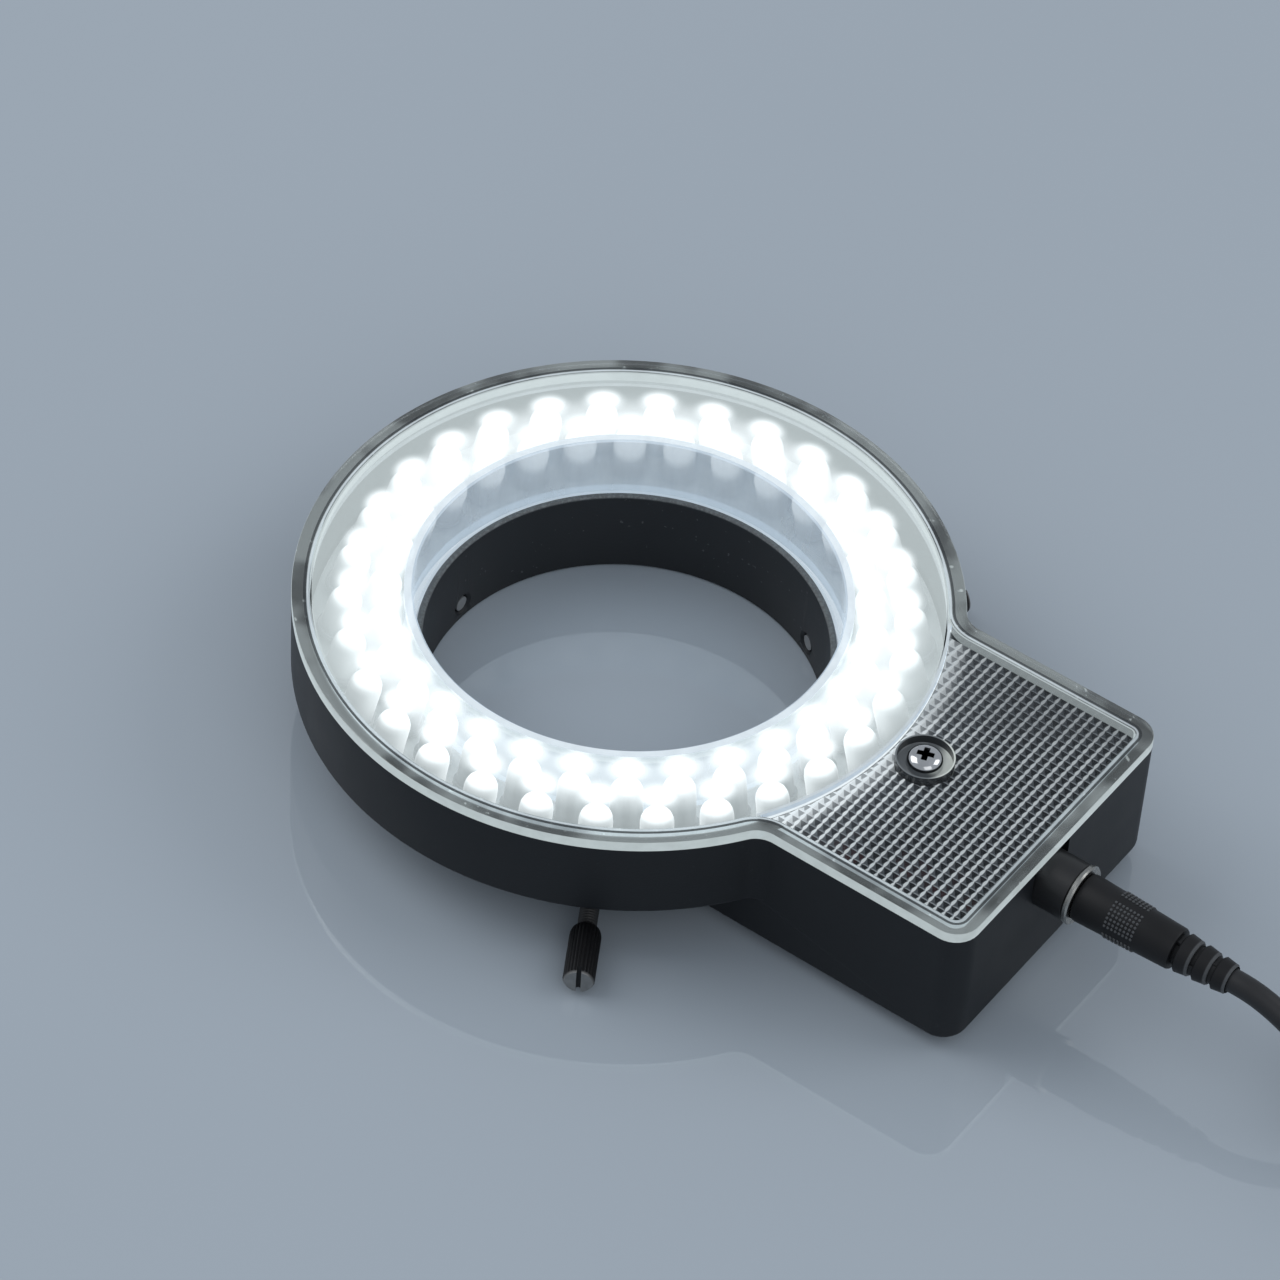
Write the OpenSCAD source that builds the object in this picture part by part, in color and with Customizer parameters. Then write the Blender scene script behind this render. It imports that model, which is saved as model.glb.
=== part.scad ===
// Microscope ring light, lying with its light face up and its collar on the table.
// Origin: on the bore's axis, at the collar's free end. +Z out of the light face, +X towards the box.

/* [Ring body and box] */
// Outside diameter of the ring body
ring_d = 100; // [88:0.5:120]
// Height of the ring body's underside above the collar's free end
ring_base_z = 10.2; // [9:0.1:12]
// Thickness of the outer walls
wall = 2; // [1.6:0.1:2.4]
// Thickness of the ring's floor
floor_t = 1.6; // [1.2:0.1:2]
// Width of the box
box_w = 52.4; // [48:0.5:58]
// Length of the box beyond the ring
box_len = 27.3; // [24:0.1:35]
// Height of the box's underside above the collar's free end
box_base_z = 2.4; // [1.5:0.1:3]
// Thickness of the box's floor
box_floor_t = 1.8; // [1.4:0.1:2.2]
// Radius of the box's upright corners
box_corner_r = 4; // [3.5:0.5:6]
// Radius of the fillets where the ring runs into the box
neck_fillet_r = 4; // [2:0.5:6]
// Gap between the collar and the box's hollowed inner end
box_collar_gap = 2; // [1:0.1:4]

/* [Mounting collar] */
// Wall of the collar's neck, inside the ring
neck_wall = 1; // [0.8:0.1:1.4]
// Height of the neck's rim above the lock ring
neck_rise = 2.2; // [1:0.1:4]
// Wall of the collar's foot, below the ring, which holds the thumbscrews
foot_wall = 4.5; // [3.5:0.1:6]
// Width of the lock ring that clamps the ring body to the collar
lock_ring_w = 2; // [1.5:0.1:2.2]
// Thickness of the lock ring
lock_ring_t = 1; // [0.8:0.1:1.2]

/* [Front cover] */
// Thickness of the cover at its outer edge
cover_edge_t = 1.8; // [1.6:0.1:2.4]
// Thickness of the cover over the LEDs
cover_t = 1.4; // [1:0.1:1.5]
// Gap between the LEDs' domes and the cover
cover_led_gap = 0.56; // [0.3:0.01:2]
// Gap between the collar's neck and the cover's bore
cover_neck_gap = 0.5; // [0.3:0.1:1]
// Thickness of the cover's inner wall
inner_wall_t = 1.4; // [1:0.1:1.6]
// Depth of the lip that locates the cover in the body
lip_depth = 1.2; // [0.8:0.1:1.6]
// Thickness of the locating lip
lip_t = 1.2; // [0.8:0.1:1.4]
// Distance of the cover screw outside the ring's circle
cover_screw_out = 3; // [2.5:0.1:6]
// Diameter of the cover screw's shank
cover_screw_d = 2.9; // [2.5:0.1:3.5]
// Diameter of the cover screw's pan head
cover_screw_head_d = 5.2; // [4.8:0.1:6]
// Height of the cover screw's pan head
cover_screw_head_h = 1.7; // [1.4:0.1:2]
// Diameter of the round dish that the head lies in
dish_d = 8.3; // [7:0.1:9]
// Depth of the dish
dish_depth = 1.6; // [1:0.1:2]

/* [Thumbscrews] */
// Height of the thumbscrews' axes
thumbscrew_z = 3; // [2.8:0.1:4]
// Diameter of the thumbscrew's thread
thread_d = 2.9; // [2.5:0.1:3.9]
// Diameter of the knurled knob
knob_d = 4.7; // [4.4:0.1:5.4]
// Length of the knurled knob
knob_len = 10.1; // [8:0.1:12]
// Travel of a thumbscrew, from screwed back until its knob meets the collar
screw_travel = 12; // [8:0.5:14]
// Width of the screwdriver slot
slot_w = 0.7; // [0.5:0.1:1]
// Depth of the screwdriver slot
slot_depth = 1; // [0.6:0.1:1.5]
// Diameter of the pad at the screw's tip
pad_d = 2.4; // [2:0.1:2.4]
// Length of the pad
pad_len = 0.8; // [0.6:0.1:1.2]
// Depth of the pad behind the bore's wall, screwed back
pad_recess = 0.2; // [0.1:0.1:0.5]

/* [LEDs] */
// Number of LEDs in each row
leds_per_row = 30; // [20:2:30]
// Gap between the outer row's flanges and the ring's wall
outer_led_gap = 1.62; // [0.5:0.01:3]
// Distance between the two rows
row_step = 5.6; // [5:0.1:6.5]
// Gap between the inner row's domes and the cover's inner wall
inner_led_gap = 0.5; // [0.3:0.1:1]
// Lean of the LEDs towards the axis, in degrees
led_lean = 15; // [8:1:18]
// Diameter of an LED
led_d = 5; // [4.6:0.1:5.1]
// Diameter of an LED's flange
led_flange_d = 5.8; // [5.2:0.1:5.9]
// Height of an LED's flange
led_flange_h = 1; // [0.8:0.1:1.2]
// Height from an LED's base to the middle of its dome
led_body_h = 6.1; // [5.8:0.1:6.2]
// Thickness of an LED's legs
led_leg_d = 0.5; // [0.4:0.1:0.6]

/* [Boards] */
// Thickness of both circuit boards
board_t = 1.6; // [1:0.1:1.6]
// Height of the pads that carry the LED board
board_pad_h = 0.8; // [0.6:0.1:0.9]
// Gap between the LED board and the walls round it
board_gap = 0.4; // [0.3:0.1:0.6]
// Shank diameter of the board screws
board_screw_d = 1.6; // [1.4:0.1:2]
// Head diameter of the board screws
board_screw_head_d = 3.2; // [2.8:0.1:3.4]
// Head height of the board screws
board_screw_head_h = 1.1; // [0.8:0.1:1.4]
// Length of the driver board, along the box
driver_l = 24; // [22:0.5:25]
// Width of the driver board
driver_w = 17; // [16:0.5:18]
// Height of the posts under the driver board
driver_post_h = 3; // [2:0.5:4]
// Diameter of the hook-up wires
wire_d = 1.3; // [1:0.1:1.5]

/* [Socket and plug] */
// Offset of the socket from the box's middle
socket_y = -3.1; // [-6:0.1:0]
// Diameter of the socket's barrel
socket_d = 9; // [8.4:0.1:10]
// Length of the barrel outside the box
socket_out = 5; // [4:0.1:6]
// Length of the socket inside the box
socket_in = 9; // [8:0.5:10]
// Diameter of the socket's metal ring
socket_ring_d = 9.4; // [9.1:0.1:9.8]
// Thickness of the socket's metal ring
socket_ring_t = 0.8; // [0.6:0.1:1.2]
// Outside diameter of the plug's metal barrel
plug_barrel_d = 5.5; // [5:0.1:5.7]
// Length of the plug's metal barrel
plug_barrel_len = 9.5; // [9:0.5:11]
// Diameter of the hole in the plug's barrel
plug_hole_d = 2.3; // [2.1:0.1:2.7]
// Diameter of the plug's moulded grip at the socket
grip_d = 7.5; // [7:0.1:8]
// Length of the plug's moulded grip
grip_len = 16.1; // [15:0.1:17]
// Number of rings on the strain relief
relief_rings = 3; // [2:1:4]
// Pitch of the strain relief's rings
relief_pitch = 3; // [2.5:0.1:3.2]

/* [Cord] */
// Diameter of the cord
cord_d = 3.6; // [3.2:0.1:3.6]
// Distance from the plug to the coil's start, along the table
cord_run = 39.2; // [30:0.1:80]
// Turns in each layer of the coil
turns_per_layer = 2.25; // [1.25:1:3.25]
// Layers in the coil
coil_layers = 4; // [2:2:4]
// Radius of the coil's outermost turn
coil_outer_r = 24.6; // [24.6:0.1:30]
// Thickness of the tie round the coil
tie_t = 0.6; // [0.4:0.1:0.8]
// Width of the tie
tie_w = 6; // [4:0.5:10]

/* [Hidden] */
$fn = 64;

// Clearances between pieces
fit_gap = 0.05;
seat_gap = 0.1;
loose_gap = 0.3;
// Overlap that joins the parts of one piece
join = 0.01;

// From the ring's wall inwards: the two rows, the cover's inner wall, the collar
ring_r = ring_d / 2;
led_lean_out = led_body_h * sin(led_lean);
outer_row_r = ring_r - wall - outer_led_gap - led_flange_d / 2 * cos(led_lean) - led_lean_out;
inner_row_r = outer_row_r - row_step;
inner_wall_r = inner_row_r - led_d / 2 - inner_led_gap;
cover_bore_r = inner_wall_r - inner_wall_t;
neck_r = cover_bore_r - cover_neck_gap;
bore_r = neck_r - neck_wall;
foot_r = bore_r + foot_wall;
box_inner_r = foot_r + box_collar_gap;
box_end = ring_r + box_len;

// From the table upwards: floors, LED board, domes, cover
floor_z = ring_base_z + floor_t;
box_floor_z = box_base_z + box_floor_t;
inner_wall_z = floor_z + lock_ring_t + seat_gap;
neck_top_z = floor_z + lock_ring_t + neck_rise;
board_z = floor_z + board_pad_h;
board_top_z = board_z + board_t;
led_dome_z = board_top_z + seat_gap + led_body_h * cos(led_lean) + led_flange_d / 2 * sin(led_lean);
cover_under_z = led_dome_z + led_d / 2 + cover_led_gap;
cover_top_z = cover_under_z + cover_t;
rim_z = cover_top_z - cover_edge_t;
lip_inset = wall + loose_gap;
min_corner_r = 0.5;
// The fillet's circle is cut this much larger, so that it crosses the edges it blends
fillet_overcut = 0.02;

// The cover's boss round the dish stands on the housing's post
boss_wall = 1;
boss_depth = 2.8;
post_wall = 2;
cover_screw_x = ring_r + cover_screw_out;
dish_z = cover_top_z - dish_depth;
cover_boss_d = dish_d + 2 * boss_wall;
cover_boss_z = dish_z - boss_depth;
post_d = cover_screw_d + 2 * post_wall;
screw_bite = 8;

board_outer_r = ring_r - wall - board_gap;
board_inner_r = inner_wall_r + board_gap;
board_screw_r = board_outer_r - board_screw_head_d / 2 - loose_gap;
// The screws stand half way between two LEDs of the outer row
board_screw_angles = [for (share = [1 / 6, 1 / 2, 5 / 6])
    (floor(leds_per_row * share) + 0.5) * 360 / leds_per_row];
board_pad_d = board_screw_d + 2.4;
board_hole_end_z = ring_base_z + floor_t / 3;
led_leg_half_gap = 1.27;

driver_wall_gap = 3;
driver_x = box_end - wall - driver_wall_gap - driver_l;
driver_y = box_w / 2 - wall - driver_wall_gap - driver_w;
driver_z = box_floor_z + driver_post_h;
driver_top_z = driver_z + board_t;
driver_post_d = board_screw_d + 3;
driver_hole_inset = 3;

// Components on the driver board, placed from its corner nearest the socket
capacitor_d = 6.3;
capacitor_h = 7.5;
capacitors_at = [[10.4, 7.8], [3.6, 7.8]];
inductor_d = 7;
inductor_h = 5;
inductor_flange = 1;
inductor_core_d = 5.4;
inductor_at = [18, 8.2];
chip_size = [5, 3, 1.4];
chip_at = [11.8, 12.9];
chip_leg_w = 0.4;
chip_leg_h = 0.5;
chip_leg_out = 0.7;
chip_leg_pitch = 1.27;

// Two-way wire connectors: on the driver board's near edge, and under the LED board
connector_pole = 2.5;
connector_side = 0.3;
connector_w = 2 * connector_pole + 2 * connector_side;
connector_l = 4;
connector_h = 4;
connector_in_at = 15;
connector_out_at = 8;
connector_in_x = driver_x + driver_l - connector_in_at;
connector_out_x = driver_x + driver_l - connector_out_at;
connector_z = driver_top_z + connector_h / 2;
led_connector_in = 3.1;
led_connector_x = board_outer_r - led_connector_in;
led_connector_y = -12.8;
led_connector_z = board_z - connector_h / 2;
wire_r = wire_d / 2;
wire_sides = 8;
wire_lead = 2;
wire_turn = 5;
wire_skew = 0.4;
wire_cross_y = -5;

// The socket's barrel reaches up to just under the cover
socket_r = socket_d / 2;
socket_z = rim_z - socket_r - seat_gap;
socket_bore_r = plug_barrel_d / 2 + 0.4;
socket_mouth_x = box_end + socket_out;
plug_x = socket_mouth_x + socket_ring_t;
socket_flange_w = socket_d + 4;
socket_flange_t = 2;
socket_back_x = box_end - wall - socket_in;
socket_pin_r = plug_hole_d / 2 - 0.15;
tag_len = 2.5;
tag_offset = 2.5;
grip_end_d = grip_d - 1;
relief_end_d = cord_d + 1.1;
relief_core_d = cord_d + 0.6;
plug_len = grip_len + relief_rings * relief_pitch;
far_plug_z = grip_d / 2 + 0.1;

thread_hole_r = thread_d / 2 + fit_gap;
pad_spigot_d = 1.2;
pad_spigot_len = 1.6;
pad_r = bore_r + pad_recess;
screw_tip_r = pad_r + pad_len + fit_gap;
knob_shoulder_r = foot_r + screw_travel + loose_gap;
thumbscrew_angles = [60, 180, 300];

function clamp01(x) = min(max(x, 0), 1);
function eased(x) = let (c = clamp01(x)) c * c * (3 - 2 * c);

// Cord route: the stretch from the plug down to the table, level at both ends
cord_r = cord_d / 2;
coil_z = tie_t + loose_gap + cord_r;
cord_start_x = plug_x + plug_len;
cord_lead = 1.5;
route_steps = 9;
function cord_drop(s) = [cord_start_x + cord_lead + s * (cord_run - 2 * cord_lead), socket_y,
    socket_z + eased(s) * (coil_z - socket_z)];
cord_end = [cord_start_x + cord_run, socket_y, coil_z];
cord_route = concat([[cord_start_x, socket_y, socket_z]],
    [for (i = [0 : route_steps]) cord_drop(i / route_steps)], [cord_end]);
cord_sides = 8;

// Coil: starts along +X at the cord's end and winds anticlockwise, in and out, one layer on another
coil_sides = 6;
rings_per_turn = 24;
coil_pitch = cord_d + 0.5;
coil_centre = [cord_end[0] + cord_d, cord_end[1] + coil_outer_r];
coil_turns = turns_per_layer * coil_layers;
climb_turns = 0.5;
tail_turns = 11 / 24;
tail_swing = 0.125;
coil_top_z = coil_z + (coil_layers - 1) * coil_pitch;
tail_angle = -90 + 360 * (coil_turns + tail_turns);

function spiral_share(t) = let (k = floor(t / turns_per_layer), f = t / turns_per_layer - k)
    k % 2 == 0 ? f : 1 - f;
function coil_r(t) = t <= coil_turns
    ? coil_outer_r - spiral_share(t) * turns_per_layer * coil_pitch
    : coil_outer_r + eased((t - coil_turns) / tail_swing) * coil_pitch;
function total(list, i = 0) = i < len(list) ? list[i] + total(list, i + 1) : 0;
function layers_climbed(t) = total([for (m = [1 : coil_layers - 1])
    eased((t - m * turns_per_layer) / climb_turns + 0.5)]);
function coil_height(t) = t <= coil_turns
    ? coil_z + layers_climbed(t) * coil_pitch
    : coil_top_z + eased((t - coil_turns - tail_swing) / (tail_turns - tail_swing)) * (far_plug_z - coil_top_z);
function coil_point(t) = let (a = -90 + 360 * t, r = coil_r(t))
    [coil_centre[0] + r * cos(a), coil_centre[1] + r * sin(a), coil_height(t)];
coil_last = coil_point(coil_turns + tail_turns);
tail_dir = [-sin(tail_angle), cos(tail_angle), 0];
far_plug_at = coil_last + tail_dir * cord_d;
coil_steps = round((coil_turns + tail_turns) * rings_per_turn);
coil_path = concat([cord_end], [for (i = [0 : coil_steps]) coil_point(i / rings_per_turn)], [far_plug_at]);

function path_length(p, i = 1) = i < len(p) ? norm(p[i] - p[i - 1]) + path_length(p, i + 1) : 0;
coil_gap = min([for (i = [0 : len(coil_path) - 1])
    for (j = [i + rings_per_turn / 2 : len(coil_path) - 1]) norm(coil_path[i] - coil_path[j])]) - cord_d;
echo(coil_least_gap = coil_gap, cord_length = path_length(cord_route) + path_length(coil_path));

// Swept tube of triangles along a path, with flat ends
function unit(v) = v / norm(v);
function path_dir(p, i) = unit(p[min(i + 1, len(p) - 1)] - p[max(i - 1, 0)]);
function tube_ring(p, i, r, sides) = let (d = path_dir(p, i), side = unit(cross([0, 0, 1], d)), up = cross(d, side))
    [for (s = [0 : sides - 1]) p[i] + r * (cos(360 * s / sides) * side + sin(360 * s / sides) * up)];
module tube(path, r, sides) {
    last = len(path) - 1;
    points = [for (i = [0 : last]) each tube_ring(path, i, r, sides)];
    skin = [for (i = [0 : last - 1]) for (s = [0 : sides - 1]) let (
            a = i * sides + s, b = i * sides + (s + 1) % sides) each [[a, b, b + sides], [a, b + sides, a + sides]]];
    caps = [for (s = [1 : sides - 2]) each [[0, s + 1, s], [last * sides, last * sides + s, last * sides + s + 1]]];
    polyhedron(points, [for (f = concat(skin, caps)) [f[0], f[2], f[1]]]);
}

// Plan of the ring and box together, drawn in by an inset
module plan(inset) {
    r = ring_r - inset;
    w = box_w / 2 - inset;
    end_x = box_end - inset;
    corner = max(box_corner_r - inset, min_corner_r);
    fillet = neck_fillet_r + inset;
    fillet_x = sqrt(pow(r + fillet, 2) - pow(w + fillet, 2));
    meet_x = sqrt(r * r - w * w);
    circle(r);
    rounded_box(0, end_x, w, corner);
    for (side = [-1, 1]) {
        difference() {
            polygon([[fillet_x, side * w], [fillet_x, side * (w + fillet)] * r / (r + fillet),
                [meet_x - fillet, side * (w - fillet)]]);
            translate([fillet_x, side * (w + fillet)]) circle(fillet + fillet_overcut);
        }
    }
}

// Rectangle of half width w with its two corners at the +X end rounded
module rounded_box(start_x, end_x, w, corner) {
    translate([start_x, -w]) square([end_x - corner - start_x, 2 * w]);
    translate([start_x, corner - w]) square([end_x - start_x, 2 * (w - corner)]);
    for (side = [-1, 1]) translate([end_x - corner, side * (w - corner)]) circle(corner);
}

// Plan of the box below the ring, hollowed round the collar
module lower_box_plan(inset) {
    difference() {
        rounded_box(0, box_end - inset, box_w / 2 - inset, max(box_corner_r - inset, min_corner_r));
        circle(box_inner_r + inset);
    }
}

module at_z(z) {
    translate([0, 0, z]) children();
}

module slab(z0, z1) {
    at_z(z0) linear_extrude(z1 - z0) children();
}

module at_angles(angles, r) {
    for (a = angles) rotate(a) translate([r, 0, 0]) children();
}

// Points along +X from the socket's axis
module on_socket_axis(x) {
    translate([x, socket_y, socket_z]) rotate([0, 90, 0]) children();
}

module at_driver_holes() {
    translate([driver_x + driver_hole_inset, driver_y + driver_w - driver_hole_inset, 0]) children();
    translate([driver_x + driver_l - driver_hole_inset, driver_y + driver_w - driver_hole_inset, 0]) children();
}

module housing() color([0.09, 0.1, 0.11]) {
    difference() {
        union() {
            slab(ring_base_z, rim_z) plan(0);
            slab(box_base_z, ring_base_z + join) lower_box_plan(0);
        }
        slab(floor_z, rim_z + join) difference() {
            plan(wall);
            circle_band(ring_r, wall);
        }
        slab(floor_z, board_top_z) intersection() {
            plan(wall);
            circle_band(ring_r + join, wall + 2 * join);
        }
        translate([cover_screw_x, 0, cover_boss_z])
            cylinder(h = rim_z - cover_boss_z + join, d = cover_boss_d + 2 * loose_gap);
        slab(box_floor_z, floor_z + join) lower_box_plan(wall);
        slab(ring_base_z - join, floor_z + join) circle(neck_r + fit_gap);
        socket_slot();
        at_angles(board_screw_angles, board_screw_r) at_z(board_hole_end_z)
            cylinder(h = floor_t, d = board_screw_d + 2 * fit_gap);
    }
    at_angles(board_screw_angles, board_screw_r) difference() {
        at_z(floor_z - join) cylinder(h = board_pad_h + join, d = board_pad_d);
        at_z(floor_z - 2 * join) cylinder(h = board_pad_h + 4 * join, d = board_screw_d + 2 * fit_gap);
    }
    cover_post();
    at_driver_holes() difference() {
        at_z(box_floor_z - join) cylinder(h = driver_post_h + join, d = driver_post_d);
        at_z(box_floor_z + 0.5) cylinder(h = driver_post_h, d = board_screw_d + 2 * fit_gap);
    }
}

// Band of a given width inside a circle: the ring's wall goes right round, across the box's mouth too
module circle_band(r, w) {
    difference() {
        circle(r);
        circle(r - w);
    }
}

// Slot in the end wall, open at the rim, that the socket drops into
module socket_slot() {
    on_socket_axis(box_end - wall - join) cylinder(h = wall + 2 * join, r = socket_r + fit_gap);
    translate([box_end - wall - join, socket_y - socket_r - fit_gap, socket_z])
        cube([wall + 2 * join, socket_d + 2 * fit_gap, rim_z - socket_z + join]);
}

// Post in the box that the cover screw bites into
module cover_post() {
    translate([cover_screw_x, 0, 0]) difference() {
        at_z(box_floor_z - join) cylinder(h = cover_boss_z - box_floor_z + join, d = post_d);
        at_z(cover_boss_z - screw_bite - 2) cylinder(h = screw_bite + 2 + join, d = cover_screw_d + 2 * fit_gap);
    }
}

module mounting_collar() color([0.1, 0.1, 0.11]) {
    difference() {
        union() {
            cylinder(h = ring_base_z, r = foot_r);
            cylinder(h = neck_top_z, r = neck_r);
        }
        at_z(-join) cylinder(h = neck_top_z + 2 * join, r = bore_r);
        at_angles(thumbscrew_angles, bore_r - 1) at_z(thumbscrew_z) rotate([0, 90, 0])
            cylinder(h = foot_r - bore_r + 2, r = thread_hole_r);
    }
}

module lock_ring() color([0.55, 0.56, 0.58]) {
    at_z(floor_z) difference() {
        cylinder(h = lock_ring_t, r = neck_r + lock_ring_w);
        at_z(-join) cylinder(h = lock_ring_t + 2 * join, r = neck_r + fit_gap);
    }
}

module front_cover() color([0.85, 0.9, 0.93, 0.4]) {
    difference() {
        union() {
            slab(rim_z, cover_top_z) plan(0);
            at_z(inner_wall_z) cylinder(h = cover_top_z - inner_wall_z, r = inner_wall_r);
            locating_lip();
            translate([cover_screw_x, 0, cover_boss_z]) cylinder(h = cover_top_z - cover_boss_z, d = cover_boss_d);
        }
        slab(rim_z - join, cover_under_z) difference() {
            plan(lip_inset + lip_t);
            circle(inner_wall_r);
            translate([cover_screw_x, 0]) circle(d = cover_boss_d);
            circle_band(ring_r - lip_inset, lip_t);
        }
        at_z(inner_wall_z - join) cylinder(h = cover_top_z - inner_wall_z + 2 * join, r = cover_bore_r);
        translate([cover_screw_x, 0, dish_z]) cylinder(h = dish_depth + join, d = dish_d);
        translate([cover_screw_x, 0, cover_boss_z - join])
            cylinder(h = cover_top_z - cover_boss_z, d = cover_screw_d + 2 * loose_gap);
    }
}

// Lip under the cover that drops inside the body's walls, left open at the socket
module locating_lip() {
    slab(rim_z - lip_depth, rim_z + join) circle_band(ring_r - lip_inset, lip_t);
    difference() {
        slab(rim_z - lip_depth, rim_z + join) plan(lip_inset);
        slab(rim_z - lip_depth - join, rim_z + 2 * join) plan(lip_inset + lip_t);
        slab(rim_z - lip_depth - join, rim_z + 2 * join)
            circle_band(ring_r + loose_gap, wall + 2 * loose_gap);
        translate([box_end - 3 * wall - lip_t, socket_y - socket_flange_w / 2 - loose_gap, rim_z - lip_depth - join])
            cube([3 * wall + lip_t, socket_flange_w + 2 * loose_gap, lip_depth]);
    }
}

module cover_screw() color([0.75, 0.76, 0.77]) {
    translate([cover_screw_x, 0, dish_z]) {
        difference() {
            pan_head(cover_screw_head_d, cover_screw_head_h);
            for (a = [0, 90]) rotate(a) translate([-1.3, -0.35, 0.6]) cube([2.6, 0.7, cover_screw_head_h]);
        }
        at_z(cover_boss_z - screw_bite - dish_z)
            cylinder(h = dish_z - cover_boss_z + screw_bite + join, d = cover_screw_d);
    }
}

// Pan head: a short cylinder under a shallow crown
module pan_head(d, h) {
    crown = h * 0.45;
    crown_r = (d * d / 4 + crown * crown) / (2 * crown);
    intersection() {
        cylinder(h = h, d = d);
        at_z(h - crown_r) sphere(r = crown_r);
    }
}

module led_board() color([0.93, 0.94, 0.94]) {
    difference() {
        at_z(board_z) cylinder(h = board_t, r = board_outer_r);
        at_z(board_z - join) cylinder(h = board_t + 2 * join, r = board_inner_r);
        at_angles(board_screw_angles, board_screw_r) at_z(board_z - join)
            cylinder(h = board_t + 2 * join, d = board_screw_d + 2 * loose_gap);
    }
}

// One LED, its dome's middle at the origin of its place, standing on its two legs
module led() {
    rotate([0, -led_lean, 0]) {
        sphere(d = led_d);
        at_z(-led_body_h) cylinder(h = led_body_h, d = led_d);
        at_z(-led_body_h) cylinder(h = led_flange_h, d = led_flange_d);
    }
    for (side = [-1, 1]) translate([led_lean_out, side * led_leg_half_gap, board_top_z - led_dome_z])
        cylinder(h = led_dome_z - board_top_z - led_body_h / 2, d = led_leg_d);
}

module led_row(r, first_angle) {
    for (i = [0 : leds_per_row - 1]) rotate(first_angle + 360 * i / leds_per_row)
        translate([r, 0, led_dome_z]) led();
}

module led_row_outer() color([0.96, 0.98, 1]) {
    led_row(outer_row_r, 0);
}

module led_row_inner() color([0.96, 0.98, 1]) {
    led_row(inner_row_r, 180 / leds_per_row);
}

// Pan-head screw with its head's seat at z = 0
module board_screw(shank_len) {
    pan_head(board_screw_head_d, board_screw_head_h);
    at_z(-shank_len) cylinder(h = shank_len + join, d = board_screw_d);
}

module led_board_screws() color([0.72, 0.73, 0.74]) {
    at_angles(board_screw_angles, board_screw_r) at_z(board_top_z) board_screw(board_t + board_pad_h + 0.8);
}

module driver_board() color([0.1, 0.35, 0.2]) {
    difference() {
        translate([driver_x, driver_y, driver_z]) cube([driver_l, driver_w, board_t]);
        at_driver_holes() at_z(driver_z - join) cylinder(h = board_t + 2 * join, d = board_screw_d + 2 * loose_gap);
    }
}

module driver_board_screws() color([0.72, 0.73, 0.74]) {
    at_driver_holes() at_z(driver_top_z) board_screw(board_t + driver_post_h - 0.6);
}

module on_driver(at) {
    translate([driver_x + driver_l - at[0], driver_y + at[1], driver_top_z]) children();
}

module driver_capacitors() color([0.15, 0.16, 0.22]) {
    for (at = capacitors_at) on_driver(at) cylinder(h = capacitor_h, d = capacitor_d);
}

module driver_inductor() color([0.25, 0.24, 0.24]) {
    on_driver(inductor_at) {
        cylinder(h = inductor_flange, d = inductor_d);
        cylinder(h = inductor_h, d = inductor_core_d);
        at_z(inductor_h - inductor_flange) cylinder(h = inductor_flange, d = inductor_d);
    }
}

module driver_chip() color([0.08, 0.08, 0.08]) {
    on_driver(chip_at) {
        cube(chip_size);
        for (i = [0 : 3]) translate([chip_leg_w + i * chip_leg_pitch, -chip_leg_out, 0])
            cube([chip_leg_w, chip_size[1] + 2 * chip_leg_out, chip_leg_h]);
    }
}

module driver_connectors() color([0.9, 0.89, 0.84]) {
    for (x = [connector_in_x, connector_out_x]) translate([x, driver_y, driver_top_z])
        cube([connector_w, connector_l, connector_h]);
}

module led_board_connector() color([0.9, 0.89, 0.84]) {
    translate([led_connector_x - connector_l, led_connector_y - connector_w / 2, board_z - connector_h])
        cube([connector_l, connector_w, connector_h]);
}

// Hook-up wire from a tag of the socket, bending down to the driver board's inlet connector
module wire_in(tag_y, end_x) {
    from = [socket_back_x - tag_len, tag_y, socket_z];
    to = [end_x, driver_y, connector_z];
    halfway = (from + to) / 2;
    tube([from, from - [wire_lead, 0, 0], [end_x + wire_skew, tag_y + wire_d, socket_z - wire_d],
        [end_x, halfway[1], halfway[2]], to + [0, -wire_lead, wire_d], to - [0, wire_r, 0], to], wire_r, wire_sides);
}

// Hook-up wire from the driver board's outlet connector round the near side to the LED board
module wire_out(start_x, end_y) {
    from = [start_x, driver_y, connector_z];
    to = [led_connector_x, end_y, led_connector_z];
    tube([from, from - [0, wire_lead, 0], [start_x - wire_skew, wire_cross_y, connector_z],
        [start_x - wire_lead, end_y + wire_turn, connector_z], [start_x - wire_turn, end_y, connector_z],
        [start_x - 2 * wire_turn, end_y - 2 * wire_skew, connector_z], [to[0] + wire_turn, end_y - wire_skew, to[2]],
        to + [wire_lead, 0, 0], to], wire_r, wire_sides);
}

module wires_red() color([0.7, 0.08, 0.07]) {
    wire_in(socket_y + tag_offset, connector_in_x + connector_w / 2 + connector_pole / 2);
    wire_out(connector_out_x + connector_w / 2 + connector_pole / 2, led_connector_y - connector_pole / 2);
}

module wires_black() color([0.06, 0.06, 0.07]) {
    wire_in(socket_y - tag_offset, connector_in_x + connector_w / 2 - connector_pole / 2);
    wire_out(connector_out_x + connector_w / 2 - connector_pole / 2, led_connector_y + connector_pole / 2);
}

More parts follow.
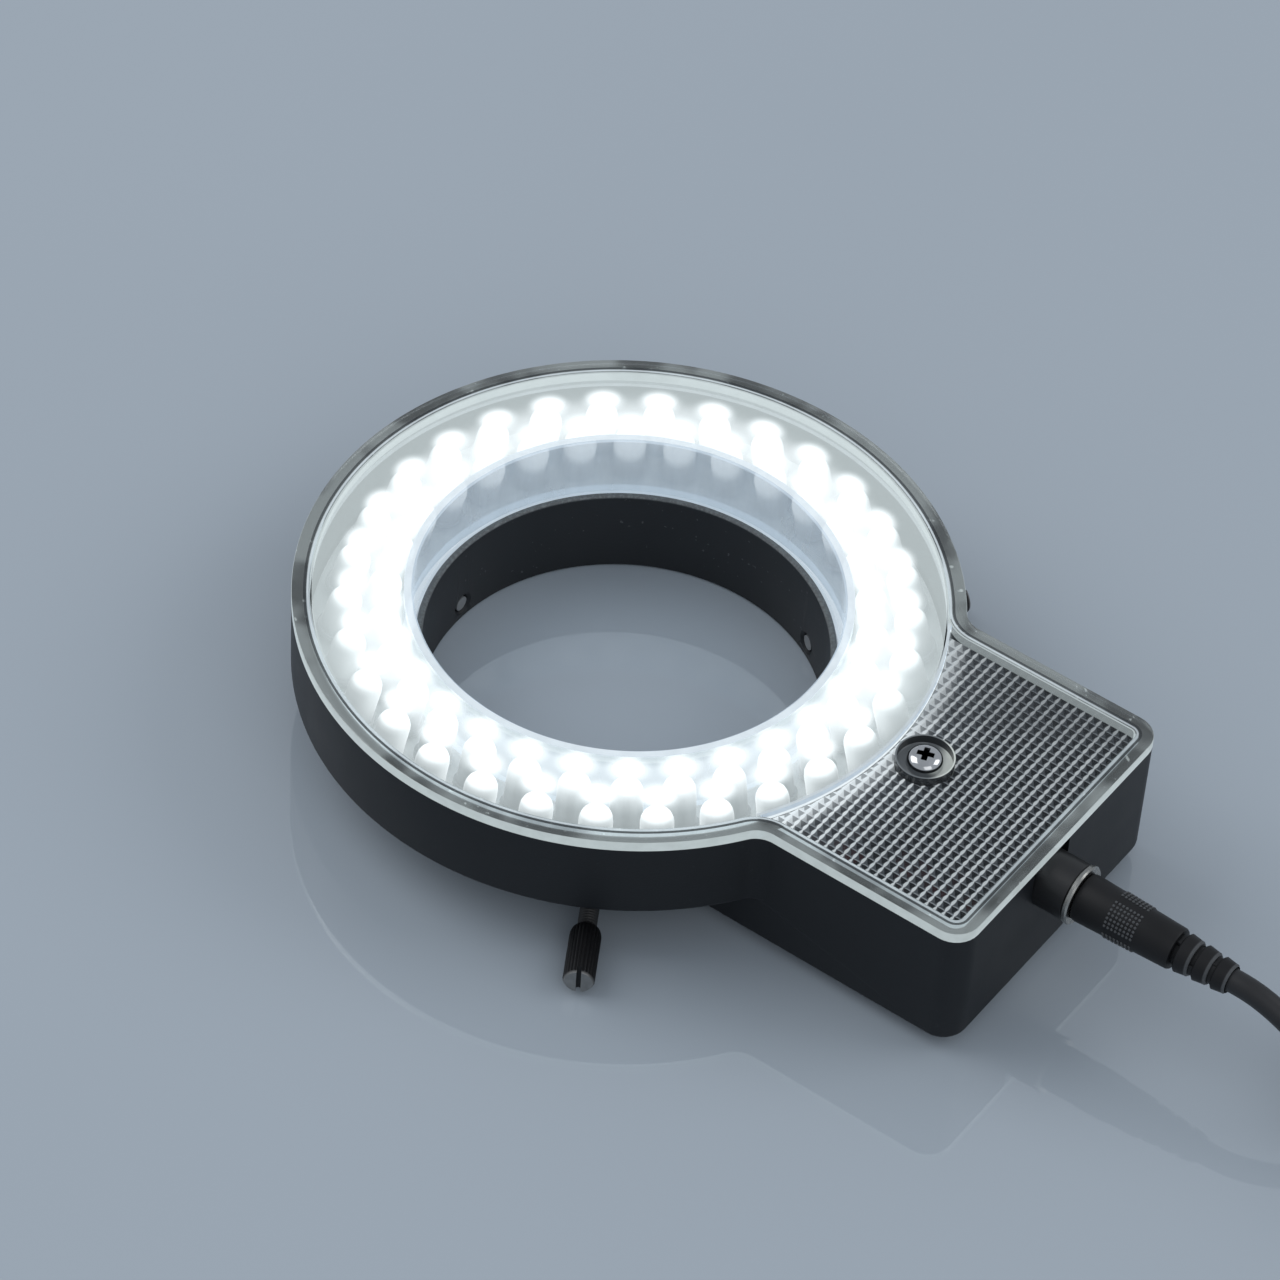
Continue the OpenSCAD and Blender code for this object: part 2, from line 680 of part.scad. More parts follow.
module socket_body() color([0.07, 0.07, 0.08]) {
    difference() {
        union() {
            on_socket_axis(socket_back_x) cylinder(h = socket_mouth_x - socket_back_x, r = socket_r);
            translate([box_end - wall - socket_flange_t, socket_y - socket_flange_w / 2, socket_z - socket_r])
                cube([socket_flange_t, socket_flange_w, socket_d]);
        }
        on_socket_axis(socket_mouth_x - plug_barrel_len - 1)
            cylinder(h = plug_barrel_len + 1 + join, r = socket_bore_r);
        on_socket_axis(socket_back_x - join) cylinder(h = socket_in + wall, r = socket_pin_r + fit_gap);
    }
}

module socket_ring() color([0.78, 0.78, 0.76]) {
    on_socket_axis(socket_mouth_x) difference() {
        cylinder(h = socket_ring_t, d = socket_ring_d);
        at_z(-join) cylinder(h = socket_ring_t + 2 * join, r = socket_bore_r);
    }
}

module socket_pin() color([0.8, 0.78, 0.7]) {
    head_h = 1;
    on_socket_axis(socket_back_x - head_h) {
        cylinder(h = socket_mouth_x - socket_back_x + head_h - 2.5, r = socket_pin_r);
        cylinder(h = head_h, r = socket_pin_r + 0.4);
    }
}

// Solder tags behind the socket, one on each side of the pin
module socket_tags() color([0.8, 0.78, 0.7]) {
    for (side = [-1, 1]) translate([socket_back_x - tag_len, socket_y + side * tag_offset - 0.9, socket_z - 0.3])
        cube([tag_len, 1.8, 0.6]);
}

// Metal barrel of a plug, from its grip back into the socket
module barrel_of_plug() {
    difference() {
        at_z(-plug_barrel_len) cylinder(h = plug_barrel_len, d = plug_barrel_d);
        at_z(-plug_barrel_len - join) cylinder(h = plug_barrel_len - 0.5, d = plug_hole_d);
    }
}

// Moulded grip of a plug and its ringed strain relief, along +Z from the socket's ring
module grip_of_plug() {
    relief_step = (grip_end_d - 0.4 - relief_end_d) / (2 * relief_rings);
    ring_w = relief_pitch * 0.77;
    rotate_extrude() polygon(concat(
        [[0, 0], [grip_d / 2 - 0.4, 0], [grip_d / 2, 0.6], [grip_end_d / 2, grip_len]],
        [for (i = [0 : relief_rings - 1]) let (
                z = grip_len + i * relief_pitch, r = grip_end_d / 2 - 0.2 - i * relief_step)
            each [[relief_core_d / 2, z], [relief_core_d / 2, z + relief_pitch - ring_w],
                [r, z + relief_pitch - ring_w], [r - relief_step, z + relief_pitch]]],
        [[0, plug_len]]));
}

module plug_barrel() color([0.8, 0.79, 0.76]) {
    on_socket_axis(plug_x) barrel_of_plug();
}

module plug_grip() color([0.05, 0.05, 0.06]) {
    on_socket_axis(plug_x) grip_of_plug();
}

module power_cord() color([0.05, 0.05, 0.06]) {
    tube(cord_route, cord_r, cord_sides);
}

module cord_coil() color([0.05, 0.05, 0.06]) {
    tube(coil_path, cord_r, coil_sides);
}

// Strap tied round the coil's turns, on the side away from the plug's end
module cord_tie() color([0.1, 0.1, 0.11]) {
    low_r = coil_outer_r - turns_per_layer * coil_pitch - cord_r - 2 * loose_gap;
    high_r = coil_outer_r + cord_r + 2 * loose_gap;
    top_z = coil_top_z + cord_r + loose_gap;
    translate([coil_centre[0], coil_centre[1], 0]) rotate(225) difference() {
        translate([low_r - tie_t, -tie_w / 2, 0]) cube([high_r - low_r + 2 * tie_t, tie_w, top_z + tie_t]);
        translate([low_r, -tie_w / 2 - join, tie_t]) cube([high_r - low_r, tie_w + 2 * join, top_z - tie_t]);
    }
}

// The far plug lies beside the coil, its strain relief on the cord's end
module at_far_plug() {
    translate(far_plug_at) rotate(tail_angle + 90) rotate([0, 90, 0]) at_z(plug_len) rotate([180, 0, 0]) children();
}

module far_plug_grip() color([0.05, 0.05, 0.06]) {
    at_far_plug() grip_of_plug();
}

module far_plug_barrel() color([0.8, 0.79, 0.76]) {
    at_far_plug() barrel_of_plug();
}

// One thumbscrew along +X from the bore's axis: thread, rounded shoulder, knob and slot
module thumbscrew(angle) color([0.12, 0.12, 0.13]) {
    shoulder = 1.2;
    end_chamfer = 0.3;
    end_r = knob_shoulder_r + knob_len;
    rotate(angle) at_z(thumbscrew_z) difference() {
        rotate([0, 90, 0]) rotate_extrude() polygon([[0, screw_tip_r], [thread_d / 2, screw_tip_r],
            [thread_d / 2, knob_shoulder_r], [knob_d / 2 - shoulder / 2, knob_shoulder_r],
            [knob_d / 2, knob_shoulder_r + shoulder], [knob_d / 2, end_r - end_chamfer],
            [knob_d / 2 - end_chamfer, end_r], [0, end_r]]);
        translate([screw_tip_r - join, 0, 0]) rotate([0, 90, 0])
            cylinder(h = pad_spigot_len + 0.2, d = pad_spigot_d + 2 * fit_gap);
        translate([end_r - slot_depth, -slot_w / 2, -knob_d]) cube([slot_depth + join, slot_w, 2 * knob_d]);
    }
}

// Pad on a spigot in the thumbscrew's tip, which slides without turning
module thumbscrew_pad(angle) color([0.9, 0.89, 0.85]) {
    rotate(angle) translate([pad_r, 0, thumbscrew_z]) rotate([0, 90, 0]) {
        cylinder(h = pad_len, d = pad_d);
        cylinder(h = pad_len + pad_spigot_len, d = pad_spigot_d);
    }
}

housing();
mounting_collar();
lock_ring();
front_cover();
cover_screw();
led_board();
led_row_outer();
led_row_inner();
led_board_screws();
driver_board();
driver_board_screws();
driver_capacitors();
driver_inductor();
driver_chip();
driver_connectors();
led_board_connector();
wires_red();
wires_black();
socket_body();
socket_ring();
socket_pin();
socket_tags();
plug_barrel();
plug_grip();
power_cord();
cord_coil();
cord_tie();
far_plug_grip();
far_plug_barrel();
thumbscrew(60);  // thumbscrew_60
thumbscrew(180);  // thumbscrew_180
thumbscrew(300);  // thumbscrew_300
thumbscrew_pad(60);  // thumbscrew_pad_60
thumbscrew_pad(180);  // thumbscrew_pad_180
thumbscrew_pad(300);  // thumbscrew_pad_300
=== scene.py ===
"""Microscope ring light: the dressed pieces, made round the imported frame."""
import math

import bpy
from mathutils import Matrix, Vector


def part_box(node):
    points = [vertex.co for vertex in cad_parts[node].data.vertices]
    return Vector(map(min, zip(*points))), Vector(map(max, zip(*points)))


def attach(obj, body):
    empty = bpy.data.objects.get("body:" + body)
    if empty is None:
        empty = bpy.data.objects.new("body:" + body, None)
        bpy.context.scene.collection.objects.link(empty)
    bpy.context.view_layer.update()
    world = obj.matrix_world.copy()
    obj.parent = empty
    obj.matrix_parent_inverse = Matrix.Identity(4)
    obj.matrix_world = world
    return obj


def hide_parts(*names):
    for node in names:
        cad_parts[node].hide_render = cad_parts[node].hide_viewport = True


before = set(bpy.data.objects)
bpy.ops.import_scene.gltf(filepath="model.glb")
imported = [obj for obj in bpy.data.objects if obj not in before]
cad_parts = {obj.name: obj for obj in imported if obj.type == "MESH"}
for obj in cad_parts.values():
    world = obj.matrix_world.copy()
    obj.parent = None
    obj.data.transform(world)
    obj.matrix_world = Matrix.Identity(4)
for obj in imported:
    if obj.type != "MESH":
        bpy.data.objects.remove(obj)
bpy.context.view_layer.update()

bl_info = {
    "name": "Microscope ring light",
    "version": (1, 0, 0),
    "blender": (4, 5, 0),
    "location": "3D View > Sidebar > Ring light",
    "description": "Models and finishes the pieces of a microscope ring light",
    "category": "Add Mesh",
}

HOUSING_LOW, HOUSING_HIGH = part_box("housing")
COLLAR_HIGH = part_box("mounting_collar")[1]
COVER_LOW, COVER_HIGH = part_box("front_cover")
SCREW_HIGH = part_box("cover_screw")[1]
COVER_SCREW_X = 53
THUMBSCREW_ANGLES = (60, 180, 300)
THUMBSCREW_Z = 3.0


# Sizes and colours that a user would change

def length(name, description, default):
    return bpy.props.FloatProperty(name=name, description=description, default=default, min=0,
                                   precision=5, unit="LENGTH")


def colour(name, description, default):
    return bpy.props.FloatVectorProperty(name=name, description=description, default=default,
                                         size=3, min=0, max=1, subtype="COLOR")


class RingLightSizes(bpy.types.PropertyGroup):
    """Sizes of the ring light's pieces."""
    ring_r: length("Ring radius", "Outside radius of the ring", HOUSING_HIGH.y)
    box_end: length("Box end", "Distance from the bore's axis to the box's end", HOUSING_HIGH.x)
    box_half: length("Box half width", "Half the width of the box", 0.0262)
    corner_r: length("Corner radius", "Radius of the box's upright corners", 0.004)
    fillet_r: length("Neck fillet", "Radius between the ring and the box", 0.004)
    wall: length("Wall", "Thickness of the housing's wall", 0.002)
    ring_base: length("Ring underside", "Height of the ring's underside", 0.0102)
    ring_floor: length("Ring floor", "Height of the ring's inner floor", 0.0118)
    box_base: length("Box underside", "Height of the box's underside", HOUSING_LOW.z)
    box_floor: length("Box floor", "Height of the box's inner floor", 0.0042)
    rim: length("Rim", "Height of the housing's rim", HOUSING_HIGH.z)
    cover_top: length("Cover top", "Height of the cover's top face", COVER_HIGH.z)
    cover_wall_foot: length("Cover wall foot", "Height of the foot of the cover's inner wall", COVER_LOW.z)
    bore_r: length("Bore radius", "Radius of the collar's bore", 0.0305)
    neck_r: length("Neck radius", "Outside radius of the collar's neck", 0.0315)
    foot_r: length("Foot radius", "Radius of the collar's foot", COLLAR_HIGH.x)
    neck_top: length("Neck top", "Height of the collar's top", COLLAR_HIGH.z)
    outer_row_r: length("Outer LED row", "Radius of the outer row of LEDs at their domes", 0.042)
    inner_row_r: length("Inner LED row", "Radius of the inner row of LEDs at their domes", 0.0364)
    dome_z: length("Dome height", "Height of the LED domes' centres", 0.02094)
    prism_pitch: length("Prism pitch", "Pitch of the prisms in the cover's tab", 0.00145)
    prism_depth: length("Prism depth", "Depth of one prism", 0.0003)
    cord_d: length("Cord diameter", "Diameter of the cord", 0.0036)
    knurl_ridges: bpy.props.IntProperty(name="Knurl ridges", description="Ridges round a thumbscrew's knob",
                                        default=26, min=12, max=60)
    leds_per_row: bpy.props.IntProperty(name="LEDs per row", description="LEDs in each of the two rows",
                                        default=30, min=12, max=48)


class RingLightColours(bpy.types.PropertyGroup):
    """Colours of the ring light's finishes."""
    paint: colour("Paint", "Black paint of the housing", (0.011, 0.013, 0.016))
    clear: colour("Clear moulding", "Tint of the clear cover", (0.66, 0.74, 0.79))
    glow: colour("Glow", "Light of the LEDs", (0.93, 0.985, 1.0))
    rubber: colour("Rubber", "Black of the cord and its plugs", (0.009, 0.0095, 0.011))
    floor: colour("Floor", "Plain floor under the light", (0.43, 0.49, 0.55))


def mm(name):
    """A size of the panel, in millimetres."""
    return getattr(bpy.context.scene.ring_light_sizes, name) * 1000


def tint(name, share=1.0):
    """A colour of the panel, made darker by a share."""
    return (*(part * share for part in getattr(bpy.context.scene.ring_light_colours, name)), 1)


# Modelling in millimetres; a settled piece is in metres

def take(piece):
    """Leaves one piece selected and active, in object mode."""
    if bpy.context.object is not None and bpy.context.object.mode != "OBJECT":
        bpy.ops.object.mode_set(mode="OBJECT")
    bpy.ops.object.select_all(action="DESELECT")
    piece.hide_set(False)
    piece.select_set(True)
    bpy.context.view_layer.objects.active = piece
    return piece


def clear_selection():
    if bpy.context.object is not None and bpy.context.object.mode != "OBJECT":
        bpy.ops.object.mode_set(mode="OBJECT")
    bpy.ops.object.select_all(action="DESELECT")


def arc(centre, r, start, end, steps):
    """Points of an arc, its angles in degrees."""
    angles = [math.radians(start + (end - start) * i / steps) for i in range(steps + 1)]
    return [(centre[0] + r * math.cos(a), centre[1] + r * math.sin(a)) for a in angles]


def plan_outline(inset):
    """Outline of the ring and box together, drawn in by an inset."""
    r = mm("ring_r") - inset
    w = mm("box_half") - inset
    end = mm("box_end") - inset
    corner = max(mm("corner_r") - inset, 0.5)
    fillet = mm("fillet_r") + inset
    fillet_x = math.sqrt((r + fillet) ** 2 - (w + fillet) ** 2)
    meet = math.degrees(math.atan2(w + fillet, fillet_x))
    return (arc((end - corner, w - corner), corner, 0, 90, 8)
            + arc((fillet_x, w + fillet), fillet, -90, meet - 180, 10)
            + arc((0, 0), r, meet, 360 - meet, 180)[1:-1]
            + arc((fillet_x, -w - fillet), fillet, 180 - meet, 90, 10)
            + arc((end - corner, corner - w), corner, -90, 0, 8))


def loop(name, points, fill="NGON"):
    """A closed loop of edges through the points, with or without its face."""
    clear_selection()
    bpy.ops.mesh.primitive_circle_add(vertices=len(points), radius=1, fill_type=fill)
    piece = bpy.context.object
    piece.name = name
    for vertex, point in zip(piece.data.vertices, points):
        vertex.co = point
    return piece


def tidy(piece):
    """Merges doubles, drops loose edges and points the faces outwards."""
    take(piece)
    bpy.ops.object.mode_set(mode="EDIT")
    bpy.ops.mesh.select_all(action="SELECT")
    bpy.ops.mesh.remove_doubles(threshold=0.0005)
    bpy.ops.mesh.delete_loose(use_verts=True, use_edges=True, use_faces=False)
    bpy.ops.mesh.select_all(action="SELECT")
    bpy.ops.mesh.normals_make_consistent(inside=False)
    bpy.ops.object.mode_set(mode="OBJECT")
    return piece


def prism(name, outline, low, high):
    """An upright solid over an outline."""
    piece = loop(name, [(x, y, low) for x, y in outline])
    bpy.ops.object.mode_set(mode="EDIT")
    bpy.ops.mesh.select_all(action="SELECT")
    bpy.ops.mesh.extrude_region_move(TRANSFORM_OT_translate={"value": (0, 0, high - low)})
    return tidy(piece)


def turned(name, profile, steps=64):
    """A solid turned about Z from a profile of radius and height."""
    piece = loop(name, [(r, 0, z) for r, z in profile], "NOTHING")
    bpy.ops.object.mode_set(mode="EDIT")
    bpy.ops.mesh.select_all(action="SELECT")
    bpy.ops.mesh.spin(steps=steps, angle=2 * math.pi, center=(0, 0, 0), axis=(0, 0, 1))
    return tidy(piece)


def moulding(name, profile):
    """A closed moulding along the cover's outline, from a profile of inset and height."""
    rings = [[(x, y, z) for x, y in plan_outline(inset)] for inset, z in profile]
    count = len(rings[0])
    clear_selection()
    bpy.ops.mesh.primitive_grid_add(x_subdivisions=count, y_subdivisions=len(rings), size=1)
    piece = bpy.context.object
    piece.name = name
    for i, vertex in enumerate(piece.data.vertices):
        row, column = divmod(i, count + 1)
        vertex.co = rings[row % len(rings)][column % count]
    return tidy(piece)


def block(name, low, high):
    """A box between two corners, for cutting and for bevelling."""
    clear_selection()
    bpy.ops.mesh.primitive_cube_add(size=1)
    piece = bpy.context.object
    piece.name = name
    for vertex in piece.data.vertices:
        vertex.co = [low[i] + (vertex.co[i] + 0.5) * (high[i] - low[i]) for i in range(3)]
    return piece


def pick_edges(piece, test):
    """Selects in edit mode the edges whose two ends pass the test."""
    take(piece)
    bpy.ops.object.mode_set(mode="EDIT")
    bpy.ops.mesh.select_mode(type="EDGE")
    bpy.ops.mesh.select_all(action="DESELECT")
    bpy.ops.object.mode_set(mode="OBJECT")
    points = piece.data.vertices
    for edge in piece.data.edges:
        edge.select = test(points[edge.vertices[0]].co, points[edge.vertices[1]].co)
    bpy.ops.object.mode_set(mode="EDIT")


def round_edges(piece, width, steps, test):
    """Bevels the edges whose two ends pass the test."""
    pick_edges(piece, test)
    bpy.ops.mesh.bevel(offset=width, segments=steps, affect="EDGES")
    bpy.ops.object.mode_set(mode="OBJECT")
    return piece


def at_height(z):
    return lambda a, b: abs(a.z - z) < 0.01 and abs(b.z - z) < 0.01


def soften(piece, width, steps=2, angle=40):
    """Bevels every sharp edge with a modifier."""
    take(piece)
    bevel = piece.modifiers.new("Soft edges", "BEVEL")
    bevel.width = width
    bevel.segments = steps
    bevel.limit_method = "ANGLE"
    bevel.angle_limit = math.radians(angle)
    bpy.ops.object.modifier_apply(modifier=bevel.name)
    return piece


def carve(piece, tool, operation="DIFFERENCE"):
    """Joins, cuts or intersects a piece with a tool, which is used up."""
    take(piece)
    cut = piece.modifiers.new("Cut", "BOOLEAN")
    cut.operation = operation
    cut.solver = "EXACT"
    cut.object = tool
    bpy.ops.object.modifier_apply(modifier=cut.name)
    bpy.data.objects.remove(tool)
    return piece


def placed(piece, matrix):
    """Moves a piece's mesh to its place."""
    take(piece)
    piece.matrix_world = matrix
    bpy.ops.object.transform_apply(location=True, rotation=True, scale=True)
    return piece


def copied(piece, name):
    """A copy of a piece with its own mesh."""
    take(piece)
    bpy.ops.object.duplicate(linked=False)
    copy = bpy.context.object
    copy.name = name
    return copy


def joined(name, pieces):
    """Several pieces as one object."""
    take(pieces[0])
    for piece in pieces:
        piece.select_set(True)
    bpy.ops.object.join()
    pieces[0].name = name
    return pieces[0]


def repeated(piece, name, matrices):
    """Copies of one piece at several places, joined, the first piece used up."""
    copies = []
    for matrix in matrices:
        copy = piece.copy()
        copy.data = piece.data.copy()
        copy.data.transform(matrix)
        bpy.context.scene.collection.objects.link(copy)
        copies.append(copy)
    bpy.data.objects.remove(piece)
    return joined(name, copies)


def settle(piece, name, body, finish, nodes=(), angle=32):
    """Finishes a piece: metres, smooth faces, its material, its body and what it stands for."""
    take(piece)
    piece.name = name
    piece.data.name = name
    if piece.type == "MESH":
        piece.scale = (0.001, 0.001, 0.001)
        bpy.ops.object.transform_apply(location=True, rotation=True, scale=True)
        bpy.ops.object.shade_smooth_by_angle(angle=math.radians(angle))
    piece.data.materials.clear()
    piece.data.materials.append(finish)
    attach(piece, body)
    if nodes:
        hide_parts(*nodes)
    return piece


def dress(node, finish):
    """Gives a CAD node that stays its finish."""
    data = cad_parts[node].data
    data.materials.clear()
    data.materials.append(finish)


def turn_x(x, y, z):
    """Lays a shape that stands along Z along +X, from a point."""
    return Matrix.Translation((x, y, z)) @ Matrix.Rotation(math.pi / 2, 4, "Y")


# Shader maths

class Strand:
    """A shader socket with the arithmetic of its tree."""

    def __init__(self, finish, socket):
        self.finish = finish
        self.socket = socket

    def of(self, output):
        """Another output of the same node."""
        return Strand(self.finish, self.socket.node.outputs[output])

    def __add__(self, other):
        return self.finish.math("ADD", self, other)

    def __radd__(self, other):
        return self.finish.math("ADD", other, self)

    def __sub__(self, other):
        return self.finish.math("SUBTRACT", self, other)

    def __rsub__(self, other):
        return self.finish.math("SUBTRACT", other, self)

    def __mul__(self, other):
        return self.finish.math("MULTIPLY", self, other)

    def __rmul__(self, other):
        return self.finish.math("MULTIPLY", other, self)

    def __truediv__(self, other):
        return self.finish.math("DIVIDE", self, other)

    def __abs__(self):
        return self.finish.math("ABSOLUTE", self)

    def fract(self):
        return self.finish.math("FRACT", self)

    def ramp(self, low, high):
        """Goes smoothly from 0 at low to 1 at high."""
        return self.finish.node("ShaderNodeMapRange", {"interpolation_type": "SMOOTHSTEP"},
                                {"Value": self, "From Min": low, "From Max": high})


class Finish:
    """A material's tree, with the nodes that the finishes use."""

    def __init__(self, name):
        self.material = bpy.data.materials.new(name)
        self.material.use_nodes = True
        self.tree = self.material.node_tree
        self.tree.nodes.clear()
        self.output = self.tree.nodes.new("ShaderNodeOutputMaterial")

    def node(self, kind, settings=None, sockets=None, output=0):
        """Adds a node: its type, its settings, then the values or links of its sockets."""
        node = self.tree.nodes.new(kind)
        for key, value in (settings or {}).items():
            setattr(node, key, value)
        for key, value in (sockets or {}).items():
            if isinstance(value, Strand):
                self.tree.links.new(value.socket, node.inputs[key])
            else:
                node.inputs[key].default_value = value
        return Strand(self, node.outputs[output])

    def math(self, operation, *values):
        return self.node("ShaderNodeMath", {"operation": operation}, dict(enumerate(values)))

    def mix(self, share, a, b):
        """Goes from colour a to colour b by a share."""
        return self.node("ShaderNodeMix", {"data_type": "RGBA"}, {0: share, 6: a, 7: b}, 2)

    def place(self):
        """The point on the piece, in millimetres."""
        point = self.node("ShaderNodeTexCoord", None, None, "Object")
        return self.node("ShaderNodeVectorMath", {"operation": "SCALE"}, {0: point, "Scale": 1000})

    def axes(self, vector):
        parts = self.node("ShaderNodeSeparateXYZ", None, {0: vector})
        return parts.of("X"), parts.of("Y"), parts.of("Z")

    def facing(self):
        """The surface's normal, by its three parts."""
        return self.axes(self.node("ShaderNodeNewGeometry", None, None, "Normal"))

    def noise(self, place, scale, detail=2.0, rough=0.5):
        return self.node("ShaderNodeTexNoise", None,
                         {"Vector": place, "Scale": scale, "Detail": detail, "Roughness": rough})

    def spread(self, x, y):
        """Distance from the bore's axis."""
        return self.math("SQRT", x * x + y * y)

    def bump(self, height, strength, distance):
        return self.node("ShaderNodeBump", None,
                         {"Height": height, "Strength": strength, "Distance": distance})

    def shader(self, **sockets):
        """The Principled shader, its sockets named in lower case."""
        names = {key.replace("_", " ").title().replace("Ior", "IOR"): value for key, value in sockets.items()}
        return self.node("ShaderNodeBsdfPrincipled", None, names)

    def finish(self, surface):
        self.tree.links.new(surface.socket, self.output.inputs["Surface"])
        return self.material

    def glassy(self, share, surface):
        """A surface that lets through what its share leaves."""
        through = self.node("ShaderNodeBsdfTransparent")
        return self.finish(self.node("ShaderNodeMixShader", None, {0: share, 1: through, 2: surface}))


FINISHES = {}


def finish_of(make):
    """The material that a function makes, made once."""
    if make.__name__ not in FINISHES:
        FINISHES[make.__name__] = make()
    return FINISHES[make.__name__]


def black_paint():
    """Satin paint with a fine orange peel, dusty and worn along its low edges, paled in the chamber by painted light of
    the LEDs.
    """
    f = Finish("black_paint")
    place = f.place()
    x, y, z = f.axes(place)
    cloud = f.noise(place, 0.09, 3.0)
    grain = f.noise(place, 3.2, 2.0)
    specks = f.noise(place, 1.6, 1.0).ramp(0.70, 0.78)
    near_foot = 1 - (z - mm("box_base")).ramp(0.2, 1.6)
    # Painted light: the chamber's inner wall is paled where the LEDs' light falls on it.
    lit = (1 - f.spread(x, y).ramp(48.02, 48.3)) * z.ramp(14.4, 15.2)
    base = f.mix(cloud, tint("paint", 0.7), tint("paint", 1.1))
    base = f.mix(specks * (0.12 + near_foot * 0.5), base, (0.07, 0.075, 0.08, 1))
    base = f.mix(lit, base, (0.085, 0.095, 0.10, 1))
    peel = f.bump(grain, 0.35, 0.00005)
    return f.finish(f.shader(base_color=base, roughness=0.40 + cloud * 0.14, normal=peel,
                             specular_ior_level=0.26))


def collar_black():
    """Blued turning: fine lathe lines, and a rim worn to bright specks."""
    f = Finish("collar_black")
    place = f.place()
    z = f.axes(place)[2]
    lines = f.math("SINE", z * 21.0 + f.noise(place, 0.5, 2.0) * 2.5)
    cloud = f.noise(place, 0.16, 3.0)
    rim = z.ramp(mm("neck_top") - 0.55, mm("neck_top") - 0.1)
    chips = f.noise(place, 2.1, 3.0, 0.65).ramp(0.46, 0.58)
    stray = f.noise(place, 1.3, 1.0).ramp(0.73, 0.78)
    base = f.mix(cloud, (0.008, 0.0095, 0.012, 1), (0.016, 0.0185, 0.022, 1))
    base = f.mix(rim * 0.55 + rim * chips * 0.45, base, (0.20, 0.215, 0.22, 1))
    base = f.mix(stray * 0.5, base, (0.12, 0.125, 0.13, 1))
    return f.finish(f.shader(base_color=base, roughness=0.48 + cloud * 0.12, metallic=rim * chips * 0.6,
                             normal=f.bump(lines, 0.12, 0.00003)))


def clear_rim():
    """Clear edge of the cover over the black rim: a refracting top with smoky patches, and a painted glow of the LEDs'
    light, even on the edge faces, faint and patchy on the top, with painted glints on the nicks.
    """
    f = Finish("clear_rim")
    place = f.place()
    side = 1 - abs(f.facing()[2]).ramp(0.35, 0.9)
    outside = 1 - f.node("ShaderNodeNewGeometry", None, None, "Backfacing")
    patches = f.noise(place, 0.10, 2.0).ramp(0.36, 0.56)
    nick_glints = f.noise(place, 0.8, 2.0).ramp(0.68, 0.74)
    streak = f.noise(place, 0.55, 2.0)
    base = f.mix(patches, (0.66, 0.70, 0.72, 1), (0.90, 0.95, 0.96, 1))
    base = f.mix(side, base, (0.10, 0.11, 0.11, 1))
    # Painted light: the edge faces and the top glow with the LEDs' light, and the nicks carry painted glints.
    painted_glow = side * (0.40 + streak * 0.12) + (1 - side) * (0.06 + patches * 0.14 + nick_glints * 0.25)
    light = f.mix(painted_glow * outside, (0, 0, 0, 1), (0.86, 0.98, 1.0, 1))
    return f.finish(f.shader(base_color=base, roughness=0.06 + streak * 0.12, transmission_weight=1.0, ior=1.49,
                             emission_color=light, emission_strength=1.0))


def clear_lip():
    """Locating lip of the cover and the line over it, with a painted glow of the LEDs' light from inside, dimmer
    towards the box's end and on upright faces.
    """
    f = Finish("clear_lip")
    place = f.place()
    # Painted light: the glow fades towards the box's end and is strongest on faces that look up.
    far = f.axes(place)[0].ramp(50, mm("box_end"))
    up = abs(f.facing()[2]).ramp(0.3, 0.8)
    streak = f.noise(place, 0.3, 3.0)
    painted_glow = (0.62 - far * 0.25) * (0.72 + streak * 0.5) * (0.4 + up * 0.6)
    light = f.mix(painted_glow, (0, 0, 0, 1), (0.83, 0.92, 0.97, 1))
    return f.glassy(0.24 + streak * 0.1 + up * 0.45,
                    f.shader(base_color=tint("clear", 0.4), roughness=0.15 + streak * 0.1,
                             emission_color=light, emission_strength=0.75))


def clear_seam():
    """Moulded seam round the cover's rim, a dark strip of painted shade between two lit edges."""
    f = Finish("clear_seam")
    place = f.place()
    streak = f.noise(place, 0.4, 3.0)
    # Painted shade: a dark strip stands in for the shade of the moulded seam.
    return f.glassy(0.66 + streak * 0.14,
                    f.shader(base_color=f.mix(streak, (0.025, 0.029, 0.033, 1), (0.075, 0.086, 0.094, 1)),
                             roughness=0.18 + streak * 0.15, specular_ior_level=0.2))


def clear_tab():
    """Plain clear plate over the prisms, with fine scuffs and a painted glow of the LEDs' light on the pale step where
    it meets the window.
    """
    f = Finish("clear_tab")
    place = f.place()
    x, y, z = f.axes(place)
    scuff = f.noise(place, 1.4, 4.0, 0.6)
    gloss = f.node("ShaderNodeFresnel", None, {"IOR": 1.45})
    # Painted light: the upright step faces beside the ring glow with the LEDs' light, paler low down.
    step = 1 - f.spread(x, y).ramp(mm("ring_r") - 2.2, mm("ring_r") - 2.1)
    step = step * (1 - abs(f.facing()[2]).ramp(0.3, 0.6))
    hue = f.mix(z.ramp(24.4, 24.65), (0.80, 0.88, 0.92, 1), (0.44, 0.53, 0.62, 1))
    return f.glassy(f.math("MAXIMUM", scuff * 0.03 + gloss * 0.5, step * 0.95),
                    f.shader(base_color=f.mix(scuff, (0.02, 0.022, 0.024, 1), (0.10, 0.11, 0.12, 1)),
                             roughness=0.05 + scuff * 0.08, emission_color=f.mix(step, (0, 0, 0, 1), hue),
                             emission_strength=1.0))


